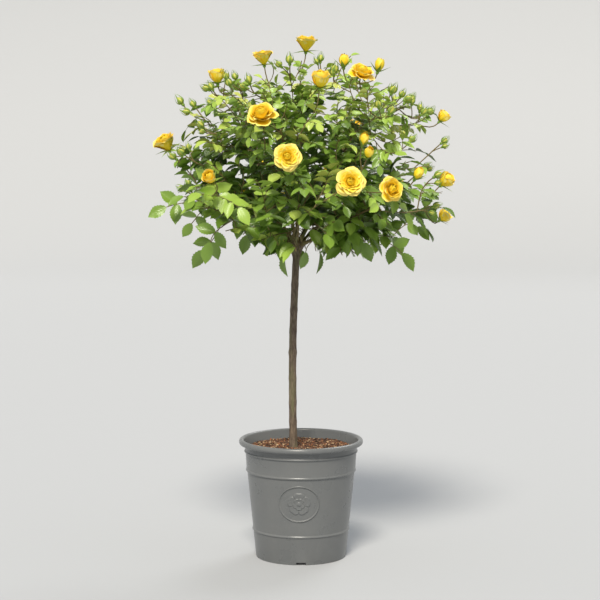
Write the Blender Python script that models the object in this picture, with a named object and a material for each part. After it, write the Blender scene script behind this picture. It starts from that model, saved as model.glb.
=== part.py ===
"""Standard rose in a grey plastic pot, built as the plant is put together.

A clear stem rises from the compost to a graft union, thirteen boughs spring from the union, and each
bough carries one mass of foliage: twigs that branch by a seeded rule, with leaflets, blooms and buds.
Units are metres, +Z is up, and the origin is the centre of the pot's flat underside. The side that the
pot's rosette faces is -Y.
"""

import math
import random

import bmesh
import bpy
from mathutils import Matrix, Quaternion, Vector, noise
from mathutils.bvhtree import BVHTree

# Touching pieces stand this far apart
SEAT_GAP = 0.0003

# Pot: a thin moulded wall that leans out, two beads, a collar and a rolled rim
POT_HEIGHT = 0.230
RIM_RADIUS = 0.120
RIM_ROLL = 0.005
FOOT_RADIUS = 0.0872
WALL_LEAN = 0.100
WALL_THICKNESS = 0.0030
FLOOR_THICKNESS = 0.0030
LOW_BEAD_HEIGHT = 0.0552
COLLAR_FOOT_HEIGHT = 0.1704
NECK_HEIGHT = 0.2065
BEAD_SIZE = 0.0016
COLLAR_STEP = 0.0018
POT_SIDES = 40
DRAIN_SLOTS = 4
DRAIN_SLOT_WIDTH = 0.0186
DRAIN_SLOT_HEIGHT = 0.0042
MEDALLION_HEIGHT = 0.115
MEDALLION_RADIUS = 0.0385
MEDALLION_BEAD = 0.0010
ROSETTE_RADIUS = 0.022
ROSETTE_PETALS = 5
ROSETTE_RELIEF = 0.0009

# Compost
SOIL_LEVEL = 0.210
SOIL_SIDES = 20
SOIL_FLAT_RADIUS = 0.034
SOIL_LUMP = 0.0022
SOIL_LUMPS_PER_METRE = 60.0
SOIL_EDGE_DROP = 0.002

# Stem: its axis bows a little to -X between the foot and the union
STEM_FOOT_X = -0.0145
UNION_CENTRE = Vector((-0.008, 0.0, 0.603))
STEM_BOW = 0.0045
STEM_FOOT_RADIUS = 0.0074
STEM_TOP_RADIUS = 0.0068
STEM_FLARE = 0.0042
STEM_FLARE_HEIGHT = 0.010
STEM_KNOTS = ((0.300, 0.0006), (0.398, 0.0010), (0.480, 0.0005))
STEM_SIDES = 10
UNION_RADIUS = 0.0155
UNION_SHOULDER = 0.026

# Crown: a dome over a flatter underside, round the pot's axis
CROWN_CENTRE = Vector((0.0, 0.0, 0.700))
CROWN_RADIUS = 0.298
CROWN_RISE = 0.298
CROWN_DROP = 0.145
CROWN_ROUNDNESS = 2.2

# Rings of boughs: name, count, turn of the first, rise at the union, centre of the mass, where the
# bough ends on its way there, and its radius at the root and at the tip
RINGS = (
    ("low", 7, 12.0, 20.0, (0.180, 0.690), 0.50, (0.0036, 0.0021)),
    ("high", 5, 40.0, 56.0, (0.118, 0.828), 0.66, (0.0034, 0.0020)),
    ("top", 1, 0.0, 89.0, (0.0, 0.885), 0.56, (0.0036, 0.0020)),
)
BOUGH_SIDES = 6
BOUGH_PIECES = 5
BOUGH_WANDER = 0.004
STRAIGHT_START = 0.006

# Twigs, all three-sided
TWIG_SIDES = 3
STEM_TIP_RADIUS = 0.0017
TWIG_TIP_RADIUS = 0.0008
TWIG_THICKENING = 0.0050
TWIG_SHARE_OF_PARENT = 0.62
FORK_SHARES = (0.35, 0.75)
TWIG_CLEARANCE = 0.0022
TWIG_SHORTEST = 0.018
SHARP_TURN_COST = 0.9

# Leaflets: eight faces each, in fives at the end of a twig
LEAFLET_LENGTH = 0.054
LEAFLET_WIDTH = 0.58
LEAFLET_THICKNESS = 0.032
LEAFLET_SMALLEST = 0.66
LEAFLET_PAIRS = (0.026, 0.053)
LEAFLET_SPREAD = 75.0
LEAFLET_DROOP = 0.45
LEAFLET_SHARES = (1.0, 0.84, 0.68)
LEAF_TIPS_OUTSIDE = 72
LEAF_TIPS_INSIDE = 28
INSIDE_SHARE = 0.70
LEAF_SPLAY = 0.25
LEAF_SPLAY_AT_TOP = 0.6

# Flowers: the radius of each stage, and its shape from base to top as shares (radius, height)
OPEN_RADIUS = 0.028
OPEN_SHAPE = ((0.25, -0.42), (1.0, 0.04), (0.52, 0.12), (0.24, 0.34))
LOBE_DEPTH = 0.14
HALF_RADIUS = 0.0155
HALF_SHAPE = ((0.35, -0.95), (1.0, 0.10), (0.45, 0.80))
BUD_RADIUS = 0.0058
BUD_LENGTH = 0.019
BUD_STEPS = (0.0, 0.007, 0.014)

# Where the flowers stand on the crown: degrees round from +X, degrees up from the crown's centre
OPEN_FLOWERS = ((310, 87), (216, 71), (251, 35), (264, 18), (288, 8), (306, 5), (315, 56), (182, 20))
HALF_FLOWERS = (
    (195, 54), (281, 52), (356, 59), (310, 65), (232, 9), (357, 28), (358, 6), (355, -7),
    (321, 11), (296, 25), (297, 18),
)
BUD_GROUPS = (
    (185, 40), (228, 49), (243, 68), (270, 62), (292, 58), (264, 45), (324, 44), (338, 43),
    (355, 38), (313, 34), (358, 18), (334, 4), (213, 18), (212, 45),
)

# Leaves that hang below or beyond the dome: degrees round, degrees up, and reach from the centre
HANGING_LEAVES = (
    (184, -6, 0.300), (196, -35, 0.222), (232, -22, 0.232), (240, -65, 0.168), (330, -42, 0.200),
    (347, -31, 0.266),
)

# The back repeats the plan of the front, turned and lifted by these degrees
BACK_TURN = 171.0
BACK_LIFT = 4.0

GOLDEN_ANGLE = math.pi * (3.0 - math.sqrt(5.0))


def clear_scene():
    for item in list(bpy.data.objects):
        bpy.data.objects.remove(item)


def material(name, colour, roughness, metallic=0.0):
    """A plain finish with the part's own colour."""
    finish = bpy.data.materials.new(name)
    finish.use_nodes = True
    shader = finish.node_tree.nodes["Principled BSDF"]
    shader.inputs["Base Color"].default_value = (*colour, 1.0)
    shader.inputs["Roughness"].default_value = roughness
    shader.inputs["Metallic"].default_value = metallic
    return finish


def put_in_scene(name, bm, finish=None):
    """Turn a bmesh into a named object at the origin."""
    bmesh.ops.recalc_face_normals(bm, faces=bm.faces)
    mesh = bpy.data.meshes.new(name)
    bm.to_mesh(mesh)
    bm.free()
    if finish:
        mesh.materials.append(finish)
    item = bpy.data.objects.new(name, mesh)
    bpy.context.scene.collection.objects.link(item)
    return item


def shade_round(item, angle=40.0):
    item.data.shade_smooth()
    item.data.set_sharp_from_angle(angle=math.radians(angle))


def combine(item, others, operation):
    """Apply one Boolean of a collection of objects to the item, then remove that collection."""
    group = bpy.data.collections.new(item.name + "_pieces")
    bpy.context.scene.collection.children.link(group)
    for other in others:
        bpy.context.scene.collection.objects.unlink(other)
        group.objects.link(other)
    modifier = item.modifiers.new("combine", "BOOLEAN")
    modifier.operation = operation
    modifier.operand_type = "COLLECTION"
    modifier.collection = group
    modifier.solver = "EXACT"
    modifier.material_mode = "TRANSFER"
    bpy.context.view_layer.update()
    graph = bpy.context.evaluated_depsgraph_get()
    joined = bpy.data.meshes.new_from_object(item.evaluated_get(graph))
    item.modifiers.clear()
    item.data = joined
    for other in others:
        bpy.data.objects.remove(other)
    bpy.data.collections.remove(group)


def keep_one_body(item):
    """Drop loose scraps and sealed hollows: only the largest closed shell stays."""
    bm = bmesh.new()
    bm.from_mesh(item.data)
    bmesh.ops.triangulate(bm, faces=bm.faces)
    unseen = set(bm.verts)
    shells = []
    while unseen:
        shell = {unseen.pop()}
        edge_of_shell = list(shell)
        while edge_of_shell:
            vert = edge_of_shell.pop()
            for edge in vert.link_edges:
                other = edge.other_vert(vert)
                if other in unseen:
                    unseen.remove(other)
                    shell.add(other)
                    edge_of_shell.append(other)
        shells.append(shell)
    shells.sort(key=len)
    for shell in shells[:-1]:
        bmesh.ops.delete(bm, geom=list(shell), context="VERTS")
    bm.to_mesh(item.data)
    bm.free()


def turned(bm, profile, sides):
    """Turn a half section of (radius, height) about Z. It starts and ends on the axis."""
    verts = [bm.verts.new((radius, 0.0, height)) for radius, height in profile]
    edges = [bm.edges.new(pair) for pair in zip(verts, verts[1:])]
    bmesh.ops.spin(
        bm, geom=verts + edges, axis=(0, 0, 1), cent=(0, 0, 0), angle=math.tau, steps=sides, use_merge=True
    )
    bmesh.ops.remove_doubles(bm, verts=bm.verts, dist=1e-6)


def limb(bm, path, radii, sides):
    """One tapering limb along the path, cut flat at both ends."""
    tangents = [(path[1] - path[0]).normalized()]
    for before, after in zip(path, path[2:]):
        tangents.append((after - before).normalized())
    tangents.append((path[-1] - path[-2]).normalized())
    turn = tangents[0].to_track_quat("Z", "Y")
    frame = Matrix.LocRotScale(path[0], turn, Vector((1, 1, 1)) * radii[0])
    ring = bmesh.ops.create_circle(bm, cap_ends=True, segments=sides, radius=1.0, matrix=frame)
    root_cap = ring["verts"][0].link_faces[0]
    face = root_cap
    for place, tangent, last, radius in zip(path[1:], tangents[1:], tangents, radii[1:]):
        turn = last.rotation_difference(tangent) @ turn
        next_frame = Matrix.LocRotScale(place, turn, Vector((1, 1, 1)) * radius)
        grown = bmesh.ops.extrude_face_region(bm, geom=[face])["geom"]
        verts = [part for part in grown if isinstance(part, bmesh.types.BMVert)]
        if face is not root_cap:
            bm.faces.remove(face)
        face = next(part for part in grown if isinstance(part, bmesh.types.BMFace))
        bmesh.ops.transform(bm, matrix=next_frame @ frame.inverted(), verts=verts)
        frame = next_frame


def wall_radius(height):
    """Outside radius of the pot's plain wall at a height."""
    return FOOT_RADIUS + WALL_LEAN * height


def pot_profile():
    """Half section of the pot: underside, wall, beads, collar, rim, inside wall and floor."""
    low = LOW_BEAD_HEIGHT
    foot = COLLAR_FOOT_HEIGHT
    neck = NECK_HEIGHT
    profile = [(0.0, 0.0), (wall_radius(0.0) - 0.0012, 0.0), (wall_radius(0.0), 0.0012)]
    profile += [
        (wall_radius(low) - 0.0004, low - BEAD_SIZE),
        (wall_radius(low) + 0.0012, low - 0.3 * BEAD_SIZE),
        (wall_radius(low) + 0.0010, low + 0.6 * BEAD_SIZE),
        (wall_radius(low) + 0.0002, low + 1.3 * BEAD_SIZE),
        (wall_radius(foot) - 0.0004, foot - 2.0 * BEAD_SIZE),
        (wall_radius(foot) + COLLAR_STEP, foot - 0.6 * BEAD_SIZE),
        (wall_radius(foot) + COLLAR_STEP, foot + BEAD_SIZE),
        (wall_radius(neck) - 0.0004, neck - BEAD_SIZE),
        (wall_radius(neck) + COLLAR_STEP, neck - 0.2 * BEAD_SIZE),
        (wall_radius(neck) + COLLAR_STEP, neck + 1.2 * BEAD_SIZE),
    ]
    for angle in (-115, -70, -30, 10, 50, 90, 135, 180):
        turn = math.radians(angle)
        radius = RIM_RADIUS - RIM_ROLL + RIM_ROLL * math.cos(turn)
        profile.append((radius, POT_HEIGHT - RIM_ROLL + RIM_ROLL * math.sin(turn)))
    inner_foot = wall_radius(FLOOR_THICKNESS) - WALL_THICKNESS
    profile += [
        (wall_radius(neck) - WALL_THICKNESS, neck + 0.006),
        (inner_foot, FLOOR_THICKNESS),
        (0.0, FLOOR_THICKNESS),
    ]
    return profile


def on_wall(across, height, proud=0.0):
    """A point on the front of the pot's wall, measured along it from the front line."""
    radius = wall_radius(height)
    turn = across / radius
    return Vector(((radius + proud) * math.sin(turn), -(radius + proud) * math.cos(turn), height))


def medallion_ring():
    """The thin round bead on the front of the pot, bent to the wall."""
    curve = bpy.data.curves.new("medallion_ring", "CURVE")
    curve.dimensions = "3D"
    curve.bevel_depth = MEDALLION_BEAD
    curve.bevel_resolution = 0
    steps = 32
    spline = curve.splines.new("POLY")
    spline.points.add(steps - 1)
    spline.use_cyclic_u = True
    for step in range(steps):
        turn = math.tau * step / steps
        across = MEDALLION_RADIUS * math.cos(turn)
        height = MEDALLION_HEIGHT + MEDALLION_RADIUS * math.sin(turn)
        spline.points[step].co = (*on_wall(across, height), 1.0)
    item = bpy.data.objects.new("medallion_ring", curve)
    bpy.context.scene.collection.objects.link(item)
    bpy.context.view_layer.update()
    graph = bpy.context.evaluated_depsgraph_get()
    mesh = bpy.data.meshes.new_from_object(item.evaluated_get(graph))
    bpy.data.objects.remove(item)
    ring = bpy.data.objects.new("medallion_ring", mesh)
    bpy.context.scene.collection.objects.link(ring)
    return ring


def rosette_petals():
    """Plain raised petals in the medallion, each a flat lozenge laid on the wall."""
    petals = []
    for number in range(ROSETTE_PETALS):
        turn = math.tau * number / ROSETTE_PETALS + math.pi / 2
        bm = bmesh.new()
        corners = []
        for reach, side in ((0.12, 0.0), (0.62, -0.30), (1.0, -0.16), (1.0, 0.16), (0.62, 0.30)):
            across = ROSETTE_RADIUS * (reach * math.cos(turn) - side * math.sin(turn))
            up = ROSETTE_RADIUS * (reach * math.sin(turn) + side * math.cos(turn))
            for proud in (-0.0012, ROSETTE_RELIEF):
                corners.append(bm.verts.new(on_wall(across, MEDALLION_HEIGHT + up, proud)))
        bmesh.ops.convex_hull(bm, input=corners)
        petals.append(put_in_scene("petal", bm))
    return petals


def drain_slots():
    """Cutters for the slots that let water out at the foot of the wall."""
    slots = []
    for number in range(DRAIN_SLOTS):
        turn = math.tau * number / DRAIN_SLOTS - math.pi / 2
        bm = bmesh.new()
        size = Matrix.Diagonal((0.030, DRAIN_SLOT_WIDTH, 2 * DRAIN_SLOT_HEIGHT, 1.0))
        place = Matrix.Rotation(turn, 4, "Z") @ Matrix.Translation((FOOT_RADIUS + 0.006, 0, 0))
        bmesh.ops.create_cube(bm, size=1.0, matrix=place @ size)
        slots.append(put_in_scene("slot", bm))
    return slots


def build_pot():
    bm = bmesh.new()
    turned(bm, pot_profile(), POT_SIDES)
    pot = put_in_scene("pot", bm, material("grey_moulded_plastic", (0.19, 0.20, 0.205), 0.45))
    combine(pot, [medallion_ring()] + rosette_petals(), "UNION")
    combine(pot, drain_slots(), "DIFFERENCE")
    keep_one_body(pot)
    shade_round(pot, 30.0)


def build_soil():
    """Compost that fills the pot, lumpy but for a flat disc under the stem."""
    def inner(height):
        return wall_radius(height) - WALL_THICKNESS - 2 * SEAT_GAP

    floor = FLOOR_THICKNESS + SEAT_GAP
    edge = SOIL_LEVEL - SOIL_EDGE_DROP
    profile = [
        (0.0, floor), (inner(floor), floor), (inner(edge), edge), (0.097, SOIL_LEVEL),
        (0.074, SOIL_LEVEL), (0.054, SOIL_LEVEL), (SOIL_FLAT_RADIUS, SOIL_LEVEL), (0.0, SOIL_LEVEL),
    ]
    bm = bmesh.new()
    turned(bm, profile, SOIL_SIDES)
    for vert in bm.verts:
        out = math.hypot(vert.co.x, vert.co.y)
        if vert.co.z > edge + 0.001 and out > SOIL_FLAT_RADIUS + 0.001:
            vert.co.z += SOIL_LUMP * noise.noise(vert.co * SOIL_LUMPS_PER_METRE)
    soil = put_in_scene("soil", bm, material("bark_compost", (0.085, 0.045, 0.028), 0.95))
    shade_round(soil)


def stem_axis(height):
    """Centre of the stem at a height: a slight lean with a slight bow."""
    share = (height - SOIL_LEVEL) / (UNION_CENTRE.z - SOIL_LEVEL)
    across = STEM_FOOT_X + (UNION_CENTRE.x - STEM_FOOT_X) * share
    return Vector((across - STEM_BOW * math.sin(math.pi * min(share, 1.0)), 0.0, height))


def stem_radius(height):
    """Radius of the stem: flare at the foot, slow taper, knots, and the swelling to the union."""
    share = (height - SOIL_LEVEL) / (UNION_CENTRE.z - SOIL_LEVEL)
    radius = STEM_FOOT_RADIUS + (STEM_TOP_RADIUS - STEM_FOOT_RADIUS) * share
    radius += STEM_FLARE * math.exp(-(height - SOIL_LEVEL) / STEM_FLARE_HEIGHT)
    for knot, swelling in STEM_KNOTS:
        radius += swelling * math.exp(-(((height - knot) / 0.009) ** 2))
    rise = (height - (UNION_CENTRE.z - UNION_SHOULDER)) / UNION_SHOULDER
    if rise > 0:
        radius += (UNION_RADIUS - STEM_TOP_RADIUS) * min(rise, 1.0) ** 1.6
    if height > UNION_CENTRE.z:
        radius = math.sqrt(max(UNION_RADIUS ** 2 - (height - UNION_CENTRE.z) ** 2, 0.0))
    return radius


def build_trunk():
    """The stem from its flat cut on the compost to the top of the graft union."""
    heights = [SOIL_LEVEL + SEAT_GAP, 0.216, 0.226, 0.245, 0.300, 0.350, 0.388, 0.398, 0.408]
    heights += [0.480, 0.530, 0.577, 0.590]
    for angle in (0, 25, 50, 74):
        heights.append(UNION_CENTRE.z + UNION_RADIUS * math.sin(math.radians(angle)))
    bm = bmesh.new()
    path = [stem_axis(height) for height in heights]
    limb(bm, path, [stem_radius(height) for height in heights], STEM_SIDES)
    trunk = put_in_scene("trunk", bm, material("rose_stem_bark", (0.16, 0.105, 0.065), 0.85))
    shade_round(trunk)


def direction(turn, rise):
    """Unit vector from degrees round from +X and degrees up from level."""
    turn, rise = math.radians(turn), math.radians(rise)
    return Vector((math.cos(rise) * math.cos(turn), math.cos(rise) * math.sin(turn), math.sin(rise)))


def bend(start, handle, end, pieces):
    """Points along one smooth bend, pulled towards its handle."""
    points = []
    for step in range(pieces + 1):
        share = step / pieces
        points.append(start.lerp(handle, share).lerp(handle.lerp(end, share), share))
    return points


def seated_bend(start, out, end, pieces):
    """A bend that leaves its seat square: a short straight start, then the bend."""
    lead = start + out * STRAIGHT_START
    handle = start + out * (end - start).length * 0.5
    return [start] + bend(lead, handle, end, pieces - 1)


def crown_reach(way):
    """How far the crown reaches from its centre in a direction."""
    level = math.hypot(way.x, way.y) / CROWN_RADIUS
    upright = abs(way.z) / (CROWN_RISE if way.z > 0 else CROWN_DROP)
    return (level ** CROWN_ROUNDNESS + upright ** CROWN_ROUNDNESS) ** (-1 / CROWN_ROUNDNESS)


def lay_out_boughs():
    """Each bough's name, path and radii, with the centre of the mass that it carries."""
    boughs = []
    chance = random.Random(5)
    for ring, count, first, rise, (from_axis, height), stop, (root, tip) in RINGS:
        for number in range(count):
            turn = first + 360.0 / count * number + chance.uniform(-5, 5) * (count > 1)
            centre = Vector((0, 0, height + chance.uniform(-0.008, 0.008)))
            centre += direction(turn, 0) * from_axis
            out = direction(turn, rise)
            start = UNION_CENTRE + out * (UNION_RADIUS + SEAT_GAP)
            end = UNION_CENTRE.lerp(centre, stop)
            path = seated_bend(start, out, end, BOUGH_PIECES)
            for place in path[2:-1]:
                place += Vector([chance.uniform(-1, 1) for axis in range(3)]) * BOUGH_WANDER / 2
            radii = [root + (tip - root) * step / BOUGH_PIECES for step in range(BOUGH_PIECES + 1)]
            name = ring if count == 1 else f"{ring}_{number + 1}"
            boughs.append({"name": name, "path": path, "radii": radii, "centre": centre})
    return boughs


def build_boughs(boughs):
    bark = material("green_brown_bark", (0.11, 0.10, 0.045), 0.7)
    for bough in boughs:
        bm = bmesh.new()
        limb(bm, bough["path"], bough["radii"], BOUGH_SIDES)
        item = put_in_scene("bough_" + bough["name"], bm, bark)
        shade_round(item)


def limbs_as_lines(boughs):
    """Every limb as straight stretches with a radius, for keeping foliage clear of them."""
    lines = []
    for bough in boughs:
        for start, end, radius in zip(bough["path"], bough["path"][1:], bough["radii"]):
            lines.append((start, end, radius))
    heights = [0.45, 0.52, 0.577, 0.590, UNION_CENTRE.z, UNION_CENTRE.z + 0.5 * UNION_RADIUS]
    for low, high in zip(heights, heights[1:]):
        radius = max(stem_radius(low), stem_radius(high))
        lines.append((stem_axis(low), stem_axis(high), radius))
    return lines


def distance_to_line(point, start, end):
    along = end - start
    share = (point - start).dot(along) / along.length_squared
    return (point - start - along * min(max(share, 0.0), 1.0)).length


class Space:
    """The room that one mass keeps to: nearer to its own centre than to any other, clear of limbs."""

    def __init__(self, centre, centres, lines):
        self.centre = centre
        self.others = [other for other in centres if other is not centre]
        self.lines = lines

    def holds(self, point, margin=SEAT_GAP / 2):
        for other in self.others:
            apart = (other - self.centre).length
            if (point - other).length_squared - (point - self.centre).length_squared < 2 * apart * margin:
                return False
        return True

    def is_clear(self, point, margin):
        for start, end, radius in self.lines:
            if distance_to_line(point, start, end) < radius + margin:
                return False
        return True


def leaf_size(height):
    """Share of full size: leaves are large low in the crown and small near its top."""
    share = (height - CROWN_CENTRE.z) / CROWN_RISE
    return 1.0 - (1.0 - LEAFLET_SMALLEST) * min(max(share, 0.0), 1.0)


def spread_ways(count, seed):
    """Directions spread evenly over a ball by the golden angle, with a little chance."""
    chance = random.Random(seed)
    ways = []
    for number in range(count):
        up = 1.0 - 2.0 * (number + 0.5) / count
        turn = number * GOLDEN_ANGLE + chance.uniform(-0.2, 0.2)
        level = math.sqrt(1.0 - up * up)
        ways.append(Vector((level * math.cos(turn), level * math.sin(turn), up)))
    return ways


def with_back(plan):
    """The plan of the front, and again turned half round for the back where it is not at the rim."""
    back = [(turn + BACK_TURN, rise + BACK_LIFT, *more) for turn, rise, *more in plan if 200 < turn < 340]
    return list(plan) + back


def leaf_tip(way, reach, turn, size):
    """A leaf twig's end: it splays from the straight way out, and its blade's point is at the reach."""
    level = Vector((math.cos(turn), math.sin(turn), 0.0))
    arriving = (way + level * (LEAF_SPLAY + LEAF_SPLAY_AT_TOP * max(way.z, 0.0))).normalized()
    return ("leaf", CROWN_CENTRE + way * reach - arriving * LEAFLET_LENGTH * size * 0.9, arriving)


def lay_out_tips():
    """Every twig's end: what it carries, its place and the way it points."""
    chance = random.Random(11)
    tips = []
    for kind, plan, depth in (
        ("open", OPEN_FLOWERS, 0.35 * OPEN_RADIUS),
        ("half", HALF_FLOWERS, 0.7 * HALF_RADIUS),
        ("buds", BUD_GROUPS, 1.3 * BUD_LENGTH),
    ):
        for turn, rise in with_back(plan):
            way = direction(turn, rise)
            tips.append((kind, CROWN_CENTRE + way * (crown_reach(way) - depth), way))
    for turn, rise, reach in with_back(HANGING_LEAVES):
        tips.append(leaf_tip(direction(turn, rise), reach, math.radians(turn), 1.0))
    for number, way in enumerate(spread_ways(LEAF_TIPS_OUTSIDE, 3)):
        reach = crown_reach(way) * chance.uniform(0.93, 1.0)
        tips.append(leaf_tip(way, reach, number * GOLDEN_ANGLE, leaf_size(CROWN_CENTRE.z + way.z * reach)))
    for number, way in enumerate(spread_ways(LEAF_TIPS_INSIDE, 8)):
        reach = crown_reach(way) * INSIDE_SHARE * chance.uniform(0.85, 1.0)
        tips.append(leaf_tip(way, reach, number * GOLDEN_ANGLE, 1.0))
    return tips


def leaflet(root, along, face, length):
    """A pointed blade of eight faces that thins to its edge."""
    side = along.cross(face).normalized()
    middle = root + along * length * 0.42
    half_width = length * LEAFLET_WIDTH / 2
    half_thick = length * LEAFLET_THICKNESS / 2
    near = root + along * length * 0.30
    corners = [root, root + along * length, middle + side * half_width, middle - side * half_width]
    return corners + [near + face * half_thick, near - face * half_thick]


def leaflet_fits(space, corners):
    """Whether the blade keeps to the mass's room and off every limb."""
    root, tip, right, left = corners[:4]
    if not all(space.holds(corner) for corner in corners):
        return False
    tests = [tip, right, left, (right + left) / 2, (right + tip) / 2, (left + tip) / 2, (root + right) / 2]
    tests += [(root + left) / 2, root]
    return all(space.is_clear(point, 0.0025) for point in tests)


def flat_face(along):
    """The way a blade's upper face looks: as near to straight up as the blade's direction lets it."""
    up = Vector((0.0, 0.0, 1.0)) + along.cross(Vector((0.3, 0.9, 0.1))) * 0.2
    return (up - along * up.dot(along)).normalized()


def leaf_of_five(path, tip_radius, size):
    """A leaf at the end of a twig: one blade in line with it, and a pair on each side further back."""
    end = path[-1]
    along = (path[-1] - path[-2]).normalized()
    face = flat_face(along)
    droop = Vector((0.0, 0.0, -LEAFLET_DROOP))
    length = LEAFLET_LENGTH * size
    blades = [leaflet(end - along * 0.004, (along + droop).normalized(), face, length + 0.004)]
    twig_length = sum((after - before).length for before, after in zip(path, path[1:]))
    for back in LEAFLET_PAIRS:
        if back * size + STRAIGHT_START > twig_length:
            break
        place = point_back_from_end(path, back * size)
        for side in (-1, 1):
            turn = Quaternion(face, math.radians(LEAFLET_SPREAD * side))
            out = (turn @ along + droop).normalized()
            normal = (face - out * face.dot(out)).normalized()
            blades.append(leaflet(place - out * 0.3 * tip_radius, out, normal, length * 0.92))
    return blades


def point_back_from_end(path, distance):
    """The point on the path at a distance back from its end."""
    for near, far in zip(reversed(path), reversed(path[:-1])):
        stretch = (far - near).length
        if distance <= stretch:
            return near.lerp(far, distance / stretch)
        distance -= stretch
    return path[0].copy()


def hull_object(name, corners, finish):
    bm = bmesh.new()
    verts = [bm.verts.new(corner) for corner in corners]
    bmesh.ops.convex_hull(bm, input=verts)
    return put_in_scene(name, bm, finish)


def flower(place, facing, radius, rings, sides, lobed, petal):
    """A flower turned about its own axis from rings of (radius, height), its widest ring lobed."""
    bm = bmesh.new()
    path = [place + facing * radius * height for share, height in rings]
    limb(bm, path, [radius * share for share, height in rings], sides)
    if lobed:
        rim = [vert for vert in bm.verts if from_axis(vert.co, place, facing).length > 0.9 * radius]
        first = facing.orthogonal()
        second = facing.cross(first)
        rim.sort(key=lambda vert: math.atan2((vert.co - place).dot(second), (vert.co - place).dot(first)))
        for vert in rim[::2]:
            vert.co -= from_axis(vert.co, place, facing) * LOBE_DEPTH
    return put_in_scene("flower", bm, petal)


def from_axis(point, place, facing):
    """The arm from an axis straight out to a point."""
    return point - place - facing * (point - place).dot(facing)


def blossom(kind, path, way, chance, finishes):
    """What stands at the end of a flowering twig."""
    place = path[-1]
    arriving = (path[-1] - path[-2]).normalized()
    facing = (way + Vector((0.0, 0.0, 0.45))).normalized()
    if kind == "open":
        radius = OPEN_RADIUS * chance.uniform(0.95, 1.05)
        return [flower(place, facing, radius, OPEN_SHAPE, 10, True, finishes["petal"])]
    if kind == "half":
        radius = HALF_RADIUS * chance.uniform(0.85, 1.1)
        return [flower(place, facing, radius, HALF_SHAPE, 6, False, finishes["petal"])]
    buds = []
    side = facing.orthogonal().normalized()
    for number, back in enumerate(BUD_STEPS[: 2 + (chance.random() < 0.5)]):
        lean = Quaternion(facing, number * GOLDEN_ANGLE + chance.uniform(0, 1)) @ side
        upward = (facing + lean * (0.85 if number else 0.1)).normalized()
        length = BUD_LENGTH * chance.uniform(0.85, 1.1)
        root = place - arriving * (back + 0.002)
        shoulder = root + upward * (0.010 if number else 0.006)
        across = upward.orthogonal().normalized()
        corners = [root, shoulder + upward * length]
        for corner in range(4):
            out = Quaternion(upward, math.tau * corner / 4) @ across
            corners.append(shoulder + upward * length * 0.35 + out * BUD_RADIUS)
        buds.append(hull_object("bud", corners, finishes["leaf"]))
    return buds


def choose_fork(nodes, end):
    """The place on the growing mass from which a twig best reaches its end."""
    best = None
    for node in nodes:
        reach = end - node["place"]
        if reach.length < TWIG_SHORTEST:
            continue
        turn = 1.0 - node["along"].dot(reach.normalized())
        cost = reach.length * (1.0 + SHARP_TURN_COST * turn)
        if best is None or cost < best[0]:
            best = (cost, node)
    return best[1] if best else None


def grow_twigs(bough, space, tips):
    """The mass's stem, then a twig to each end within its room, forking from what has grown so far."""
    path = bough["path"]
    along = (path[-1] - path[-2]).normalized()
    start = path[-1] + along * SEAT_GAP
    stem = seated_bend(start, along, bough["centre"], 3)
    root_radius = bough["radii"][-1]
    radii = [root_radius + (STEM_TIP_RADIUS - root_radius) * step / 3 for step in range(4)]
    twigs = [{"kind": "stem", "path": stem, "radii": radii}]
    nodes = fork_places(stem[1:], radii[1:])
    own = [tip for tip in tips if space.holds(tip[1], 0.004)]
    own.sort(key=lambda tip: (tip[1] - start).length)
    for kind, end, way in own:
        node = choose_fork(nodes, end)
        if node is None:
            continue
        reach = (end - node["place"]).length
        steps = 1 if reach < 0.045 else 2 if reach < 0.11 else 3
        twig = bend(node["place"], end - way * reach * 0.42, end, steps)
        if not twig_fits(space, twig):
            continue
        root_radius = min(node["radius"] * TWIG_SHARE_OF_PARENT, TWIG_TIP_RADIUS + TWIG_THICKENING * reach)
        tip_radius = min(TWIG_TIP_RADIUS, root_radius)
        radii = [root_radius + (tip_radius - root_radius) * step / steps for step in range(steps + 1)]
        twigs.append({"kind": kind, "path": twig, "radii": radii, "way": way})
        if reach > 0.03:
            nodes += fork_places(twig[:-1] + [twig[-2].lerp(twig[-1], 0.5)], radii)
    return twigs


def twig_fits(space, path):
    """Whether a twig keeps to the mass's room and off every limb, tested all along it."""
    for before, after in zip(path, path[1:]):
        for share in (0.12, 0.25, 0.5, 0.75, 1.0):
            place = before.lerp(after, share)
            if not space.holds(place, 0.002) or not space.is_clear(place, TWIG_CLEARANCE):
                return False
    return True


def fork_places(path, radii):
    """Where later twigs may fork from this one: twice on each straight stretch."""
    forks = []
    for before, after, thick, thin in zip(path, path[1:], radii, radii[1:]):
        for share in FORK_SHARES:
            radius = thick + (thin - thick) * share
            place = before.lerp(after, share)
            forks.append({"place": place, "along": (after - before).normalized(), "radius": radius})
    return forks


def shape_tree(item):
    """The faces of an object, ready to be tested against others."""
    mesh = item.data
    places = [vert.co for vert in mesh.vertices]
    return BVHTree.FromPolygons(places, [face.vertices for face in mesh.polygons])


def fitted_blade(space, full_blade, others, finish):
    """A leaflet at full size, or else smaller, that keeps to its room and crosses nothing else."""
    root = full_blade[0]
    for share in LEAFLET_SHARES:
        corners = [root + (corner - root) * share for corner in full_blade]
        if not leaflet_fits(space, corners):
            continue
        blade = hull_object("leaflet", corners, finish)
        tree = shape_tree(blade)
        if not any(tree.overlap(other) for other in others):
            return blade, tree
        bpy.data.objects.remove(blade)
    return None, None


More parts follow.
